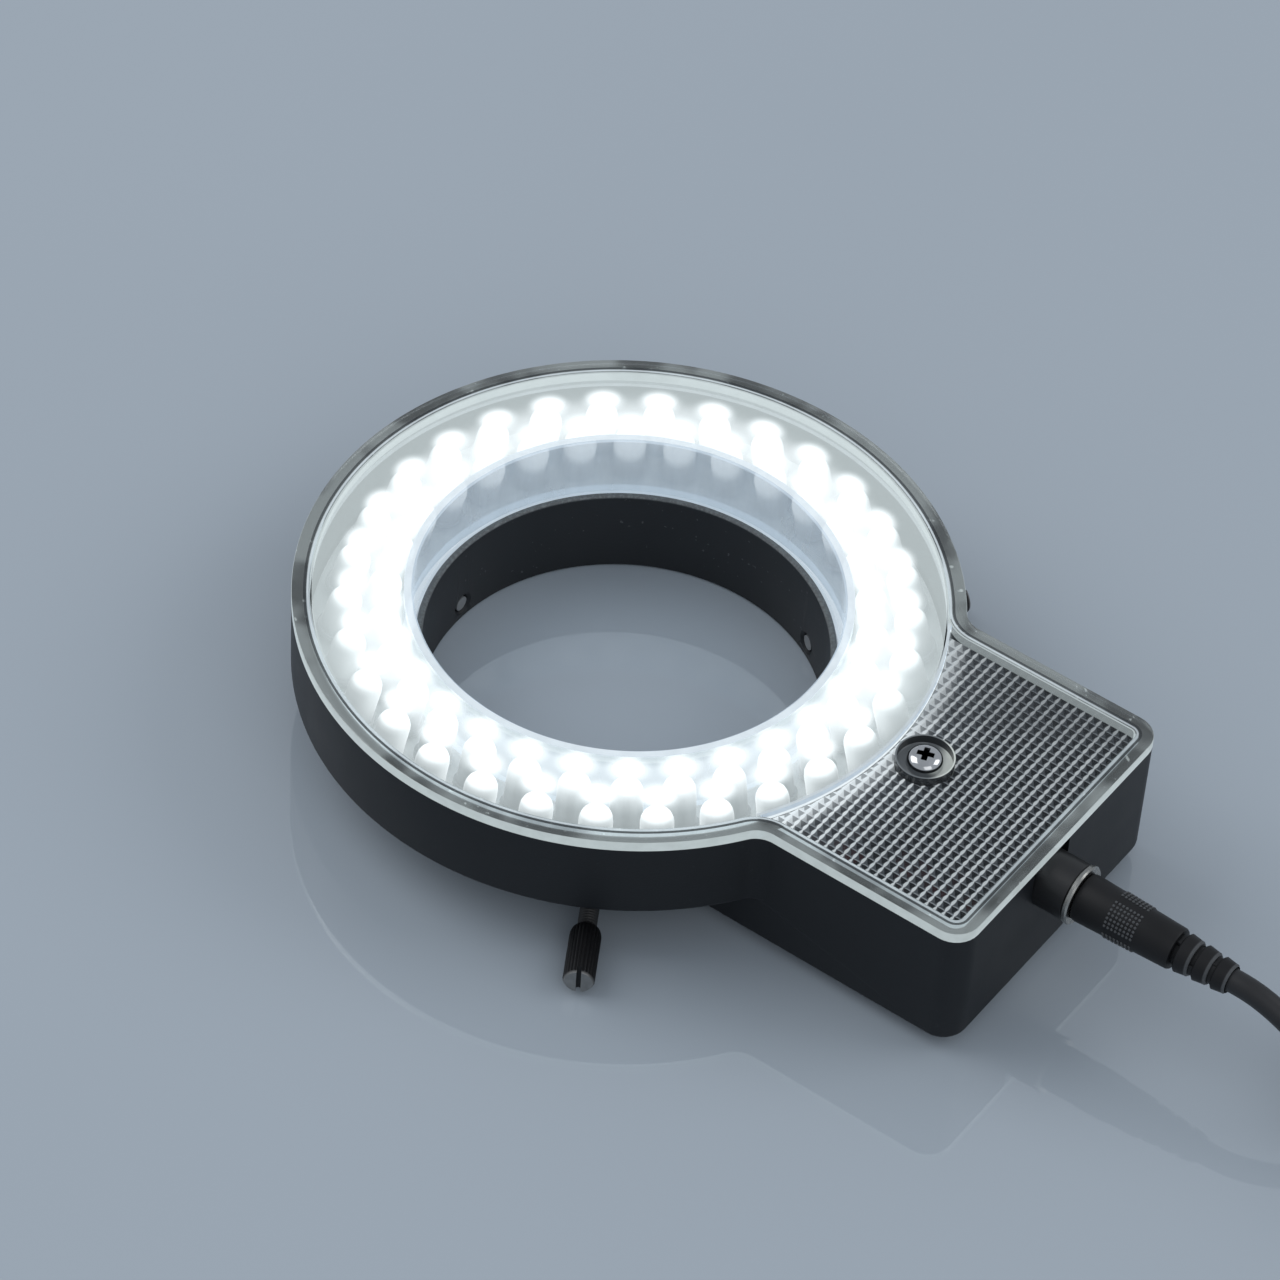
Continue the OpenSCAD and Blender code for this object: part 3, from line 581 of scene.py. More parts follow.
def clear_window():
    """Window over the LEDs: a faint haze and scuffs, with a painted pool of light over each LED and a painted glowing
    veil over the rows.
    """
    f = Finish("clear_window")
    place = f.place()
    x, y, z = f.axes(place)
    r = f.spread(x, y)
    count = round(mm("leds_per_row") / 1000)
    turn = f.math("ARCTAN2", y, x) * (count / (2 * math.pi))
    # Painted light: a soft pool of LED light is painted over each LED.
    pools = []
    for row, phase in ((mm("outer_row_r") - 1.0, 0.5), (mm("inner_row_r") - 0.6, 0.0)):
        along = ((turn + phase).fract() - 0.5) * (2 * math.pi * row / count)
        out = (r - row) * 1.25
        pools.append(1 - f.math("SQRT", along * along + out * out).ramp(1.4, 4.0))
    pool = f.math("MAXIMUM", *pools) * z.ramp(mm("cover_top") - 0.8, mm("cover_top") - 0.4)
    scuff = f.noise(place, 1.4, 4.0, 0.6)
    gloss = f.node("ShaderNodeFresnel", None, {"IOR": 1.45})
    # Painted light: a glowing veil over the LED rows, which also makes the window a little less clear.
    glow_veil = r.ramp(33.4, 34.6) * (1 - r.ramp(39.5, 43.5))
    light = f.mix(f.math("MAXIMUM", pool, glow_veil * 0.6), (0.44, 0.49, 0.49, 1), tint("glow"))
    return f.glassy(0.09 + scuff * 0.05 + glow_veil * 0.08 + gloss * 0.4 + pool * 0.68,
                    f.shader(base_color=tint("clear", 0.3), roughness=0.05 + scuff * 0.08,
                             emission_color=light, emission_strength=1.3))


def clear_wall():
    """Inner wall of the cover: pale, faintly streaked, seen through, with a painted glow of the LEDs' light, bright
    along its top edge, its foot and its flat faces.
    """
    f = Finish("clear_wall")
    place = f.place()
    z = f.axes(place)[2]
    across = f.node("ShaderNodeVectorMath", {"operation": "MULTIPLY"}, {0: place, 1: (1, 1, 0.25)})
    streak = f.noise(across, 0.35, 3.0)
    flat = abs(f.facing()[2]).ramp(0.9, 0.98)
    # Painted light: the glow is brightest along the top edge, at the foot and on the flat faces.
    edge = z.ramp(mm("cover_top") - 0.4, mm("cover_top") - 0.2) * (1 - flat)
    foot = 1 - z.ramp(mm("neck_top") - 0.35, mm("neck_top") - 0.05)
    hue = f.mix(flat, (0.70, 0.83, 0.94, 1), (0.88, 0.94, 0.95, 1))
    light = f.mix(0.24 + streak * 0.2 + edge * 0.3 + foot * 0.35 + flat * 0.45, (0, 0, 0, 1), hue)
    return f.glassy(0.46 + streak * 0.14 + edge * 0.15 + foot * 0.3 + flat * 0.3,
                    f.shader(base_color=(0.30, 0.36, 0.42, 1), roughness=0.14 + streak * 0.1,
                             emission_color=light, emission_strength=0.8))


def clear_dish():
    """Clear boss and dish round the cover screw, drawn opaque: upright walls painted dark as shade, a grey floor, and a
    painted pool of the ring's light on the side away from the ring.
    """
    f = Finish("clear_dish")
    place = f.place()
    x, y = f.axes(place)[:2]
    up = abs(f.facing()[2]).ramp(0.3, 0.8)
    # Painted light: the ring's light falls through the clear wall onto the dish's floor on the side away from the ring.
    lit = (x + y * 0.4 - COVER_SCREW_X).ramp(1.2, 3.6) * up
    streak = f.noise(place, 0.8, 2.0)
    # Painted shade: faces that do not look up are darker than the floor.
    base = f.mix(up, (0.035, 0.039, 0.042, 1), (0.20, 0.22, 0.23, 1))
    base = f.mix(lit, base, (0.50, 0.53, 0.50, 1))
    light = f.mix(lit * (0.5 + streak * 0.4), (0, 0, 0, 1), (0.80, 0.86, 0.82, 1))
    return f.finish(f.shader(base_color=base, roughness=0.10 + streak * 0.08,
                             emission_color=light, emission_strength=0.35))


def prism_cells():
    """Field of small prisms with the LEDs' light painted in: bright leaves towards the ring and thin pale ribs across
    as painted light, dark pits as painted shade, and painted light whiter beside the ring and fading away from it.
    """
    f = Finish("prism_cells")
    place = f.place()
    x, y = f.axes(place)[:2]
    pitch = mm("prism_pitch")
    u = ((x - (mm("box_end") - 3.0)) / pitch).fract()
    v = (y / pitch).fract()
    from_ridge = (u + 0.5).fract() - 0.5
    from_rib = (v + 0.5).fract() - 0.5
    leaf_swell = v * (1 - v) * 4
    rib_swell = u * (1 - u) * 4
    # Painted light: bright leaves along the ridges and thin pale ribs across, where the LEDs' light catches the prisms.
    leaf = 1 - (abs(from_ridge + leaf_swell * 0.065) - leaf_swell * 0.14).ramp(0.0, 0.09)
    rib = (1 - abs(from_rib - rib_swell * 0.13).ramp(0.05, 0.14)) * u.ramp(0.05, 0.25)
    # Painted shade: the pits between the ridges are dark.
    pit = (u - 0.08 + (v - 0.975) * 0.763).ramp(-0.06, 0.06) * (0.86 - (1.04 - v) * 0.389 - u).ramp(-0.05, 0.07)
    r = f.spread(x, y)
    # Painted light: the field is brighter near the ring and whiter beside it, fading away from it.
    near = 1 - r.ramp(mm("ring_r") - 1.0, mm("ring_r") + 11)
    beside = 1 - r.ramp(mm("ring_r") - 1.9, mm("ring_r") + 1.4)
    cell = f.noise(place, 0.55, 2.0)
    red = (1 - y.ramp(-22, -12)) * f.noise(place, 0.3, 1.0).ramp(0.5, 0.62)
    dark = f.mix(red * 0.6, (0.018, 0.021, 0.024, 1), (0.07, 0.016, 0.017, 1))
    dark = f.mix(near, dark, (0.09, 0.10, 0.11, 1))
    grey = f.mix(near, (0.12, 0.135, 0.15, 1), (0.27, 0.30, 0.32, 1))
    base = f.mix(pit * (0.8 + cell * 0.3), grey, dark)
    base = f.mix(rib * 0.85, base, (0.38, 0.42, 0.45, 1))
    base = f.mix(leaf * (0.75 + cell * 0.3), base, (0.54, 0.59, 0.62, 1))
    base = f.mix(beside * (1 - pit * 0.5) * 0.9, base, (0.62, 0.67, 0.70, 1))
    painted_glow = leaf * (0.34 + near * 0.42 + cell * 0.25) + rib * 0.08 + beside * (1 - pit * 0.6) * 0.85
    light = f.mix(painted_glow, (0, 0, 0, 1), tint("glow"))
    return f.finish(f.shader(base_color=base, roughness=0.42 + cell * 0.12, specular_ior_level=0.05,
                             emission_color=light, emission_strength=0.7))


def led_epoxy():
    """Clear LED epoxy, white hot at the dome, bright on the side that leans inwards and dimmer outside."""
    f = Finish("led_epoxy")
    glow = f.node("ShaderNodeAttribute", {"attribute_name": "glow"}, None, "Fac")
    place = f.place()
    haze = f.noise(place, 0.8, 1.0)
    light = f.mix(glow * (0.94 + haze * 0.12), (0.02, 0.022, 0.024, 1), tint("glow"))
    return f.finish(f.shader(base_color=(0.20, 0.22, 0.23, 1), roughness=0.12 + haze * 0.08,
                             emission_color=light, emission_strength=1.3))


def white_board():
    """White solder mask with pale ring tracks and soldered pads."""
    f = Finish("white_board")
    place = f.place()
    r = f.spread(*f.axes(place)[:2])
    cloud = f.noise(place, 0.25, 2.0)
    track = 1 - abs((r / 1.9).fract() - 0.5).ramp(0.40, 0.46)
    base = f.mix(cloud, (0.80, 0.82, 0.82, 1), (0.88, 0.89, 0.88, 1))
    base = f.mix((1 - track) * 0.25, base, (0.62, 0.65, 0.64, 1))
    return f.finish(f.shader(base_color=base, roughness=0.35 + cloud * 0.15,
                             normal=f.bump(track, 0.2, 0.00004)))


def green_board():
    """Green solder mask over copper tracks."""
    f = Finish("green_board")
    place = f.place()
    y = f.axes(place)[1]
    cloud = f.noise(place, 0.35, 2.0)
    track = abs((y / 1.27 + f.noise(place, 0.12, 0.0) * 2.0).fract() - 0.5).ramp(0.16, 0.22)
    base = f.mix(track, (0.012, 0.075, 0.035, 1), (0.022, 0.14, 0.06, 1))
    return f.finish(f.shader(base_color=base, roughness=0.28 + cloud * 0.12,
                             normal=f.bump(track, 0.3, 0.00005)))


def metal(name, pale, dark, rough, lines):
    """Bare metal with fine turned or brushed lines and a little tarnish."""
    f = Finish(name)
    place = f.place()
    stretch = f.node("ShaderNodeVectorMath", {"operation": "MULTIPLY"}, {0: place, 1: lines})
    brush = f.noise(stretch, 2.4, 3.0)
    cloud = f.noise(place, 0.7, 2.0)
    return f.finish(f.shader(base_color=f.mix(cloud, pale, dark), metallic=1.0, roughness=rough + brush * 0.14,
                             normal=f.bump(brush, 0.15, 0.00003)))


def screw_steel():
    return metal("screw_steel", (0.62, 0.63, 0.64, 1), (0.40, 0.41, 0.42, 1), 0.08, (1, 1, 5))


def cover_screw_steel():
    """Plated screw head, its cross recess painted dark as shade."""
    f = Finish("cover_screw_steel")
    place = f.place()
    x, y, z = f.axes(place)
    crown = SCREW_HIGH.z * 1000
    # Painted shade: the cross recess is painted dark.
    recess_shade = (1 - f.spread(x - COVER_SCREW_X, y).ramp(1.6, 1.9)) * (1 - z.ramp(crown, crown + 0.15))
    cloud = f.noise(place, 0.7, 2.0)
    base = f.mix(cloud, (0.70, 0.71, 0.72, 1), (0.46, 0.47, 0.48, 1))
    base = f.mix(recess_shade, base, (0.02, 0.022, 0.024, 1))
    return f.finish(f.shader(base_color=base, metallic=1.0, roughness=0.07 + cloud * 0.1))


def lock_alloy():
    return metal("lock_alloy", (0.66, 0.67, 0.69, 1), (0.52, 0.53, 0.55, 1), 0.25, (1, 1, 6))


def contact_metal():
    return metal("contact_metal", (0.80, 0.78, 0.72, 1), (0.62, 0.60, 0.56, 1), 0.16, (5, 1, 1))


def bezel_metal():
    return metal("bezel_metal", (0.42, 0.42, 0.40, 1), (0.26, 0.26, 0.25, 1), 0.20, (5, 1, 1))


def black_steel():
    """Blackened steel of the thumbscrews, worn bright on its end and on the thread's crests."""
    f = Finish("black_steel")
    place = f.place()
    bare = f.node("ShaderNodeAttribute", {"attribute_name": "bare"}, None, "Fac")
    cloud = f.noise(place, 0.8, 3.0)
    scratch = f.noise(place, 4.0, 2.0).ramp(0.62, 0.72)
    worn = bare * (0.55 + cloud * 0.5) + scratch * 0.06
    base = f.mix(worn, (0.010, 0.0105, 0.012, 1), (0.34, 0.34, 0.335, 1))
    return f.finish(f.shader(base_color=base, metallic=0.25 + bare * 0.65, roughness=0.42 - bare * 0.12 + cloud * 0.1))


def pad_nylon():
    f = Finish("pad_nylon")
    place = f.place()
    cloud = f.noise(place, 1.2, 3.0)
    return f.finish(f.shader(base_color=f.mix(cloud, (0.17, 0.18, 0.19, 1), (0.27, 0.28, 0.29, 1)),
                             roughness=0.38 + cloud * 0.15))


def moulded(name, pale, dark, rough, scale=2.5):
    """Moulded plastic with a fine spark-eroded grain."""
    f = Finish(name)
    place = f.place()
    cloud = f.noise(place, 0.3, 2.0)
    grain = f.noise(place, scale, 2.0)
    return f.finish(f.shader(base_color=f.mix(cloud, pale, dark), roughness=rough + cloud * 0.12,
                             normal=f.bump(grain, 0.25, 0.00004)))


def socket_black():
    return moulded("socket_black", (0.014, 0.0145, 0.016, 1), (0.008, 0.0085, 0.0095, 1), 0.32)


def cord_rubber():
    return moulded("cord_rubber", tint("rubber"), tint("rubber", 1.8), 0.40, 3.5)


def plug_rubber():
    """Moulded rubber of the plugs, with painted grey highlights on its dots and on the edges of its strain relief."""
    f = Finish("plug_rubber")
    place = f.place()
    rubbed = f.node("ShaderNodeAttribute", {"attribute_name": "rubbed"}, None, "Fac")
    cloud = f.noise(place, 0.3, 2.0)
    grain = f.noise(place, 3.5, 2.0)
    base = f.mix(cloud, tint("rubber", 0.6), tint("rubber", 1.1))
    # Painted highlight: the dots and the edges of the strain relief's rings are paled.
    base = f.mix(rubbed * (0.7 + grain * 0.5), base, (0.16, 0.17, 0.18, 1))
    return f.finish(f.shader(base_color=base, roughness=0.42 + cloud * 0.12, normal=f.bump(grain, 0.25, 0.00004),
                             specular_ior_level=0.3))


def chip_black():
    return moulded("chip_black", (0.012, 0.012, 0.013, 1), (0.02, 0.02, 0.022, 1), 0.55, 5.0)


def capacitor_blue():
    return moulded("capacitor_blue", (0.016, 0.022, 0.06, 1), (0.024, 0.032, 0.085, 1), 0.3)


def ferrite():
    return moulded("ferrite", (0.05, 0.048, 0.047, 1), (0.08, 0.076, 0.074, 1), 0.62, 4.0)


def connector_white():
    return moulded("connector_white", (0.78, 0.76, 0.70, 1), (0.70, 0.68, 0.62, 1), 0.4)


def wire_red():
    return moulded("wire_red", (0.42, 0.012, 0.012, 1), (0.33, 0.010, 0.010, 1), 0.35)


def wire_black():
    return moulded("wire_black", (0.010, 0.010, 0.011, 1), (0.018, 0.018, 0.019, 1), 0.38)


def tie_black():
    """Woven hook and loop strap."""
    f = Finish("tie_black")
    place = f.place()
    x, y, z = f.axes(place)
    warp = f.math("SINE", (x + y) * 9.0)
    weft = f.math("SINE", z * 9.0 + (x - y) * 9.0)
    weave = warp * weft
    fuzz = f.noise(place, 3.0, 3.0)
    return f.finish(f.shader(base_color=f.mix(fuzz, (0.010, 0.010, 0.011, 1), (0.030, 0.030, 0.032, 1)),
                             roughness=0.75 + fuzz * 0.15, normal=f.bump(weave + fuzz, 0.4, 0.00015)))


def plain_floor():
    """Smooth pale acrylic sheet."""
    f = Finish("plain_floor")
    place = f.place()
    cloud = f.noise(place, 0.006, 2.0)
    return f.finish(f.shader(base_color=f.mix(cloud, tint("floor", 0.97), tint("floor", 1.03)),
                             roughness=0.02 + cloud * 0.01, specular_ior_level=0.8))


# Cord route, the same as the part's

CORD_START = (108.2, -3.1, 19.0027)
COIL_CENTRE = (151.0, 21.5)
CORD_RUN, CORD_LEAD, COIL_R, COIL_PITCH, COIL_Z = 39.2, 1.5, 24.6, 4.1, 2.7
TURNS, LAYERS, CLIMB, TAIL, SWING = 2.25, 4, 0.5, 11 / 24, 0.125
FAR_PLUG_Z = 3.85


def eased(share):
    share = min(max(share, 0.0), 1.0)
    return share * share * (3 - 2 * share)


def coil_point(turn):
    """A point of the coil after a number of turns, wound in and out in layers, then swung down to the plug."""
    wound = TURNS * LAYERS
    top = COIL_Z + (LAYERS - 1) * COIL_PITCH
    if turn <= wound:
        layer = min(int(turn / TURNS), LAYERS)
        share = turn / TURNS - layer
        share = share if layer % 2 == 0 else 1 - share
        r = COIL_R - share * TURNS * COIL_PITCH
        z = COIL_Z + COIL_PITCH * sum(eased((turn - m * TURNS) / CLIMB + 0.5) for m in range(1, LAYERS))
    else:
        r = COIL_R + eased((turn - wound) / SWING) * COIL_PITCH
        z = top + eased((turn - wound - SWING) / (TAIL - SWING)) * (FAR_PLUG_Z - top)
    angle = math.radians(-90 + 360 * turn)
    return Vector((COIL_CENTRE[0] + r * math.cos(angle), COIL_CENTRE[1] + r * math.sin(angle), z))


def tail_direction():
    angle = math.radians(-90 + 360 * (TURNS * LAYERS + TAIL))
    return Vector((-math.sin(angle), math.cos(angle), 0))


def far_plug_at():
    return coil_point(TURNS * LAYERS + TAIL) + tail_direction() * mm("cord_d")


def cord_points():
    """Centreline of the cord from the near plug to the far one."""
    x, y, z = CORD_START
    points = [Vector((x, y, z))]
    for i in range(25):
        share = i / 24
        points.append(Vector((x + CORD_LEAD + share * (CORD_RUN - 2 * CORD_LEAD), y, z + eased(share) * (COIL_Z - z))))
    points.append(Vector((x + CORD_RUN, y, COIL_Z)))
    steps = round((TURNS * LAYERS + TAIL) * 48)
    points += [coil_point(i / 48) for i in range(steps + 1)]
    points.append(far_plug_at())
    return points


def tube(name, points, r, sides=6):
    """A round cord or wire along points given in millimetres, as a curve in metres."""
    data = bpy.data.curves.new(name, "CURVE")
    data.dimensions = "3D"
    data.bevel_depth = r / 1000
    data.bevel_resolution = sides
    data.use_fill_caps = True
    spline = data.splines.new("POLY")
    spline.points.add(len(points) - 1)
    for point, place in zip(spline.points, points):
        point.co = (*(Vector(place) / 1000), 1)
    spline.use_smooth = True
    piece = bpy.data.objects.new(name, data)
    bpy.context.scene.collection.objects.link(piece)
    return piece


def smooth_through(points, steps=8):
    """Points of a smooth line through the given ones."""
    points = [Vector(p) for p in points]
    full = [points[0] * 2 - points[1], *points, points[-1] * 2 - points[-2]]
    line = []
    for i in range(1, len(full) - 2):
        a, b, c, d = full[i - 1:i + 3]
        for k in range(steps):
            t = k / steps
            line.append(0.5 * (2 * b + (c - a) * t + (2 * a - 5 * b + 4 * c - d) * t * t
                               + (3 * b - a - 3 * c + d) * t ** 3))
    return line + [points[-1]]


# Operators, one for each piece or group of like pieces

class RING_LIGHT_OT_stage(bpy.types.Operator):
    """Set the camera at the photographed angle, the floor and the studio light"""
    bl_idname = "ring_light.stage"
    bl_label = "Stage"

    def execute(self, context):
        azimuth, elevation, roll = (math.radians(a) for a in (33.49, 45.89, 3.93))
        back = Vector((math.sin(azimuth) * math.cos(elevation), -math.cos(azimuth) * math.cos(elevation),
                       math.sin(elevation)))
        level = Vector((math.cos(azimuth), math.sin(azimuth), 0))
        rise = back.cross(level)
        right = level * math.cos(roll) + rise * math.sin(roll)
        up = rise * math.cos(roll) - level * math.sin(roll)
        target, distance = Vector((0.00102, 0.00205, 0.01403)), 0.8418
        clear_selection()
        bpy.ops.object.camera_add(location=target + back * distance,
                                  rotation=Matrix((right, up, back)).transposed().to_euler())
        camera = context.object
        camera.data.lens = 158.43
        camera.data.sensor_width = 36
        camera.data.clip_start = 0.01
        context.scene.camera = camera
        clear_selection()
        bpy.ops.mesh.primitive_plane_add(size=8)
        floor = context.object
        floor.name = "floor"
        floor.data.materials.append(finish_of(plain_floor))
        for name, place, size, power in (("key", (-1.25, -0.35, 1.3), 1.3, 9.0), ("fill", (1.2, -0.8, 1.1), 1.2, 3.5),
                                         ("back", (1.1, 1.0, 1.2), 1.0, 5.0)):
            aim = (Vector((0.01, 0, 0.01)) - Vector(place)).to_track_quat("-Z", "Y").to_euler()
            clear_selection()
            bpy.ops.object.light_add(type="AREA", location=place, rotation=aim)
            context.object.name = name
            context.object.data.shape = "SQUARE"
            context.object.data.size = size
            context.object.data.energy = power
        world = bpy.data.worlds.new("studio")
        world.use_nodes = True
        sky = world.node_tree.nodes["Background"]
        sky.inputs["Color"].default_value = (0.86, 0.92, 1.0, 1)
        sky.inputs["Strength"].default_value = 0.5
        context.scene.world = world
        context.scene.view_settings.view_transform = "Standard"
        return {"FINISHED"}


class RING_LIGHT_OT_plugs(bpy.types.Operator):
    """Model one moulded plug with its dotted grip and ringed strain relief, and place it at both cord ends"""
    bl_idname = "ring_light.plugs"
    bl_label = "Plugs"

    def execute(self, context):
        grip_r, end_r, grip_len, pitch, width = 3.75, 3.25, 16.1, 3.0, 2.31
        body = turned("grip", [(0, 0), (grip_r - 0.4, 0), (grip_r - 0.12, 0.15), (grip_r, 0.6), (3.45, 9.9),
                               (end_r, grip_len - 0.35), (end_r - 0.15, grip_len - 0.08), (end_r - 0.35, grip_len),
                               (2.1, grip_len), (2.1, grip_len + 3 * pitch), (0, grip_len + 3 * pitch)], 48)
        parts = [body]
        step = (2 * end_r - 0.4 - 4.7) / 6
        for i in range(3):
            low = grip_len + i * pitch + pitch - width
            r = end_r - 0.2 - i * step
            parts.append(turned("ring", [(1.9, low), (r - 0.25, low), (r, low + 0.25), (r - step, low + width - 0.5),
                                         (r - step, low + width - 0.25), (r - step - 0.25, low + width),
                                         (1.9, low + width)], 40))
            for side in (0, 1):
                turn = Matrix.Rotation(math.radians(90 * (i % 2) + 180 * side), 4, "Z")
                bridge = soften(block("bridge", (1.9, -0.9, low - 0.75), (r - 0.45, 0.9, low + 0.2)), 0.12)
                parts.append(placed(bridge, turn))
        clear_selection()
        bpy.ops.mesh.primitive_ico_sphere_add(subdivisions=1, radius=0.25)
        dot = context.object
        dot.scale = (0.8, 1, 1)
        bpy.ops.object.transform_apply(scale=True)
        places = []
        for panel in range(4):
            for row in range(8):
                for column in range(7):
                    z = 5.7 + row * 0.62
                    angle = math.radians(45 + panel * 90 - 31.5 + column * 10.5)
                    r = grip_r + (end_r - grip_r) * (z - 0.6) / (grip_len - 0.6)
                    places.append(Matrix.Rotation(angle, 4, "Z") @ Matrix.Translation((r + 0.02, 0, z)))
        dots = repeated(dot, "dots", places)
        for part, share in [(part, 0.0) for part in parts] + [(dots, 0.5)]:
            # Painted highlight: the dots and the raised edge at the top of each ring are marked to be paled.
            rubbed = part.data.attributes.new("rubbed", "FLOAT", "POINT")
            edge_z = max(vertex.co.z for vertex in part.data.vertices) - 0.3
            for vertex, value in zip(part.data.vertices, rubbed.data):
                raised = part.name.startswith("ring") and math.hypot(vertex.co.x, vertex.co.y) > 1.95
                value.value = 0.55 if raised and vertex.co.z > edge_z else share
        near = joined("plug", [*parts, dots])
        far = copied(near, "far_plug")
        x, y, z = CORD_START
        placed(near, turn_x(x - 25.1, y, z))
        turn = math.atan2(tail_direction().y, tail_direction().x)
        far_place = (Matrix.Translation(far_plug_at()) @ Matrix.Rotation(turn, 4, "Z")
                     @ Matrix.Rotation(math.pi / 2, 4, "Y") @ Matrix.Translation((0, 0, 25.1))
                     @ Matrix.Rotation(math.pi, 4, "X"))
        placed(far, far_place)
        settle(near, "plug_moulding", "light", finish_of(plug_rubber), ["plug_grip"])
        settle(far, "far_plug_moulding", "light", finish_of(plug_rubber), ["far_plug_grip"])
        barrel = turned("barrel", [(1.15, -9.5), (2.35, -9.5), (2.75, -9.0), (2.75, -1.3), (2.6, -1.1), (2.6, -0.8),
                                   (2.75, -0.6), (2.75, 0), (0, 0), (0, -0.5), (1.15, -0.5)], 40)
        second = copied(barrel, "second")
        placed(barrel, turn_x(x - 25.1, y, z))
        placed(second, far_place)
        settle(barrel, "plug_contact", "light", finish_of(contact_metal), ["plug_barrel"])
        settle(second, "far_plug_contact", "light", finish_of(contact_metal), ["far_plug_barrel"])
        return {"FINISHED"}


class RING_LIGHT_OT_cord(bpy.types.Operator):
    """Lay the cord from the plug to its tied coil and the far plug"""
    bl_idname = "ring_light.cord"
    bl_label = "Cord and tie"

    def execute(self, context):
        low_r, high_r, top, thick, half, corner = 12.375, 27.6, 17.7, 0.6, 3.0, 2.0
        corners = ((high_r - corner, top - corner), (low_r + corner, top - corner), (low_r + corner, corner),
                   (high_r - corner, corner))
        outer, hole = ([point for i, at in enumerate(corners) for point in arc(at, r, 90 * i, 90 * i + 90, 6)]
                       for r in (corner, corner - thick))
        strap = prism("strap", outer, -half, half)
        carve(strap, prism("hole", hole, -half - 1, half + 1))
        soften(strap, 0.12, 2)
        patch = block("patch", (low_r + 4.2, top - 0.08, -half + 0.15), (high_r - 3.0, top + 0.30, half - 0.15))
        soften(patch, 0.14)
        strap = joined("strap", [strap, patch])
        upright = Matrix(((1, 0, 0, 0), (0, 0, -1, 0), (0, 1, 0, 0), (0, 0, 0, 1)))
        placed(strap, Matrix.Translation((*COIL_CENTRE, 0)) @ Matrix.Rotation(math.radians(225), 4, "Z") @ upright)
        settle(strap, "coil_strap", "light", finish_of(tie_black), ["cord_tie"])
        points = cord_points()
        cord = tube("lead", points, mm("cord_d") / 2)
        settle(cord, "power_lead", "light", finish_of(cord_rubber), ["power_cord", "cord_coil"])
        total = sum((b - a).length for a, b in zip(points, points[1:])) / 1000
        mm("cord_d") / 1000
        return {"FINISHED"}


class RING_LIGHT_OT_housing(bpy.types.Operator):
    """Model the ring and its box as one cast shell"""
    bl_idname = "ring_light.housing"
    bl_label = "Housing"

    def execute(self, context):
        wall, rim, half, end = mm("wall"), mm("rim"), mm("box_half"), mm("box_end")
        base, low = mm("ring_base"), mm("box_base")
        shell = prism("shell", plan_outline(0), base, rim)
        round_edges(shell, 0.9, 4, at_height(base))
        corner = mm("corner_r")
        reach = math.degrees(math.asin(half / (mm("foot_r") + 2)))
        outline = (arc((end - corner, half - corner), corner, 0, 90, 8)
                   + arc((0, 0), mm("foot_r") + 2, reach, -reach, 40)
                   + arc((end - corner, corner - half), corner, -90, 0, 8))
        lower = prism("lower", outline, low, rim - 3)
        round_edges(lower, 1.0, 4, at_height(low))
        carve(shell, lower, "UNION")
        chamber = prism("chamber", plan_outline(wall), mm("ring_floor"), rim + 1)
        band = turned("band", [(mm("ring_r") - wall, 14.2), (mm("ring_r"), 14.2), (mm("ring_r"), rim + 2),
                               (mm("ring_r") - wall, rim + 2)], 180)
        carve(chamber, band)
        notch = turned("notch", [(0, 21.0), (5.45, 21.0), (5.45, rim + 1), (0, rim + 1)], 48)
        carve(chamber, over_screw(notch), "UNION")
        carve(shell, chamber)
        inner = corner - wall
        reach = math.degrees(math.asin((half - wall) / (mm("foot_r") + 4)))
        cavity = (arc((end - wall - inner, half - corner), inner, 0, 90, 6)
                  + arc((0, 0), mm("foot_r") + 4, reach, -reach, 40)
                  + arc((end - wall - inner, corner - half), inner, -90, 0, 6))
        carve(shell, prism("cavity", cavity, mm("box_floor"), mm("ring_floor") + 0.5))
        carve(shell, turned("hole", [(0, base - 1), (mm("neck_r") + 0.05, base - 1),
                                     (mm("neck_r") + 0.05, mm("ring_floor") + 1), (0, mm("ring_floor") + 1)], 120))
        socket_z, socket_y = CORD_START[2], CORD_START[1]
        slot = [(y + socket_y, z) for y, z in arc((0, socket_z), 4.55, 180, 360, 24)]
        slot = prism("slot", slot + [(socket_y + 4.55, rim + 1), (socket_y - 4.55, rim + 1)], end - wall - 1, end + 1)
        carve(shell, placed(slot, Matrix(((0, 0, 1, 0), (1, 0, 0, 0), (0, 1, 0, 0), (0, 0, 0, 1)))))
        post = [(1.5, 21.0), (3.25, 21.0), (3.45, 20.8), (3.45, 4.1), (0, 4.1), (0, 11), (1.5, 11)]
        posts = [over_screw(turned("post", post, 32))]
        for angle in (66, 186, 306):
            pad = turned("pad", [(1.05, 12.6), (2.1, 12.6), (2.2, 11.7), (1.05, 11.7)], 24)
            posts.append(placed(pad, Matrix.Rotation(math.radians(angle), 4, "Z") @ Matrix.Translation((45.7, 0, 0))))
        for x in (51.3, 69.3):
            stand = turned("stand", [(1.05, 7.2), (2.4, 7.2), (2.5, 4.1), (1.05, 4.1)], 24)
            posts.append(placed(stand, Matrix.Translation((x, 18.2, 0))))
        shell = joined("shell", [shell, *posts])
        settle(shell, "housing_shell", "light", finish_of(black_paint), ["housing"], 40)
        return {"FINISHED"}


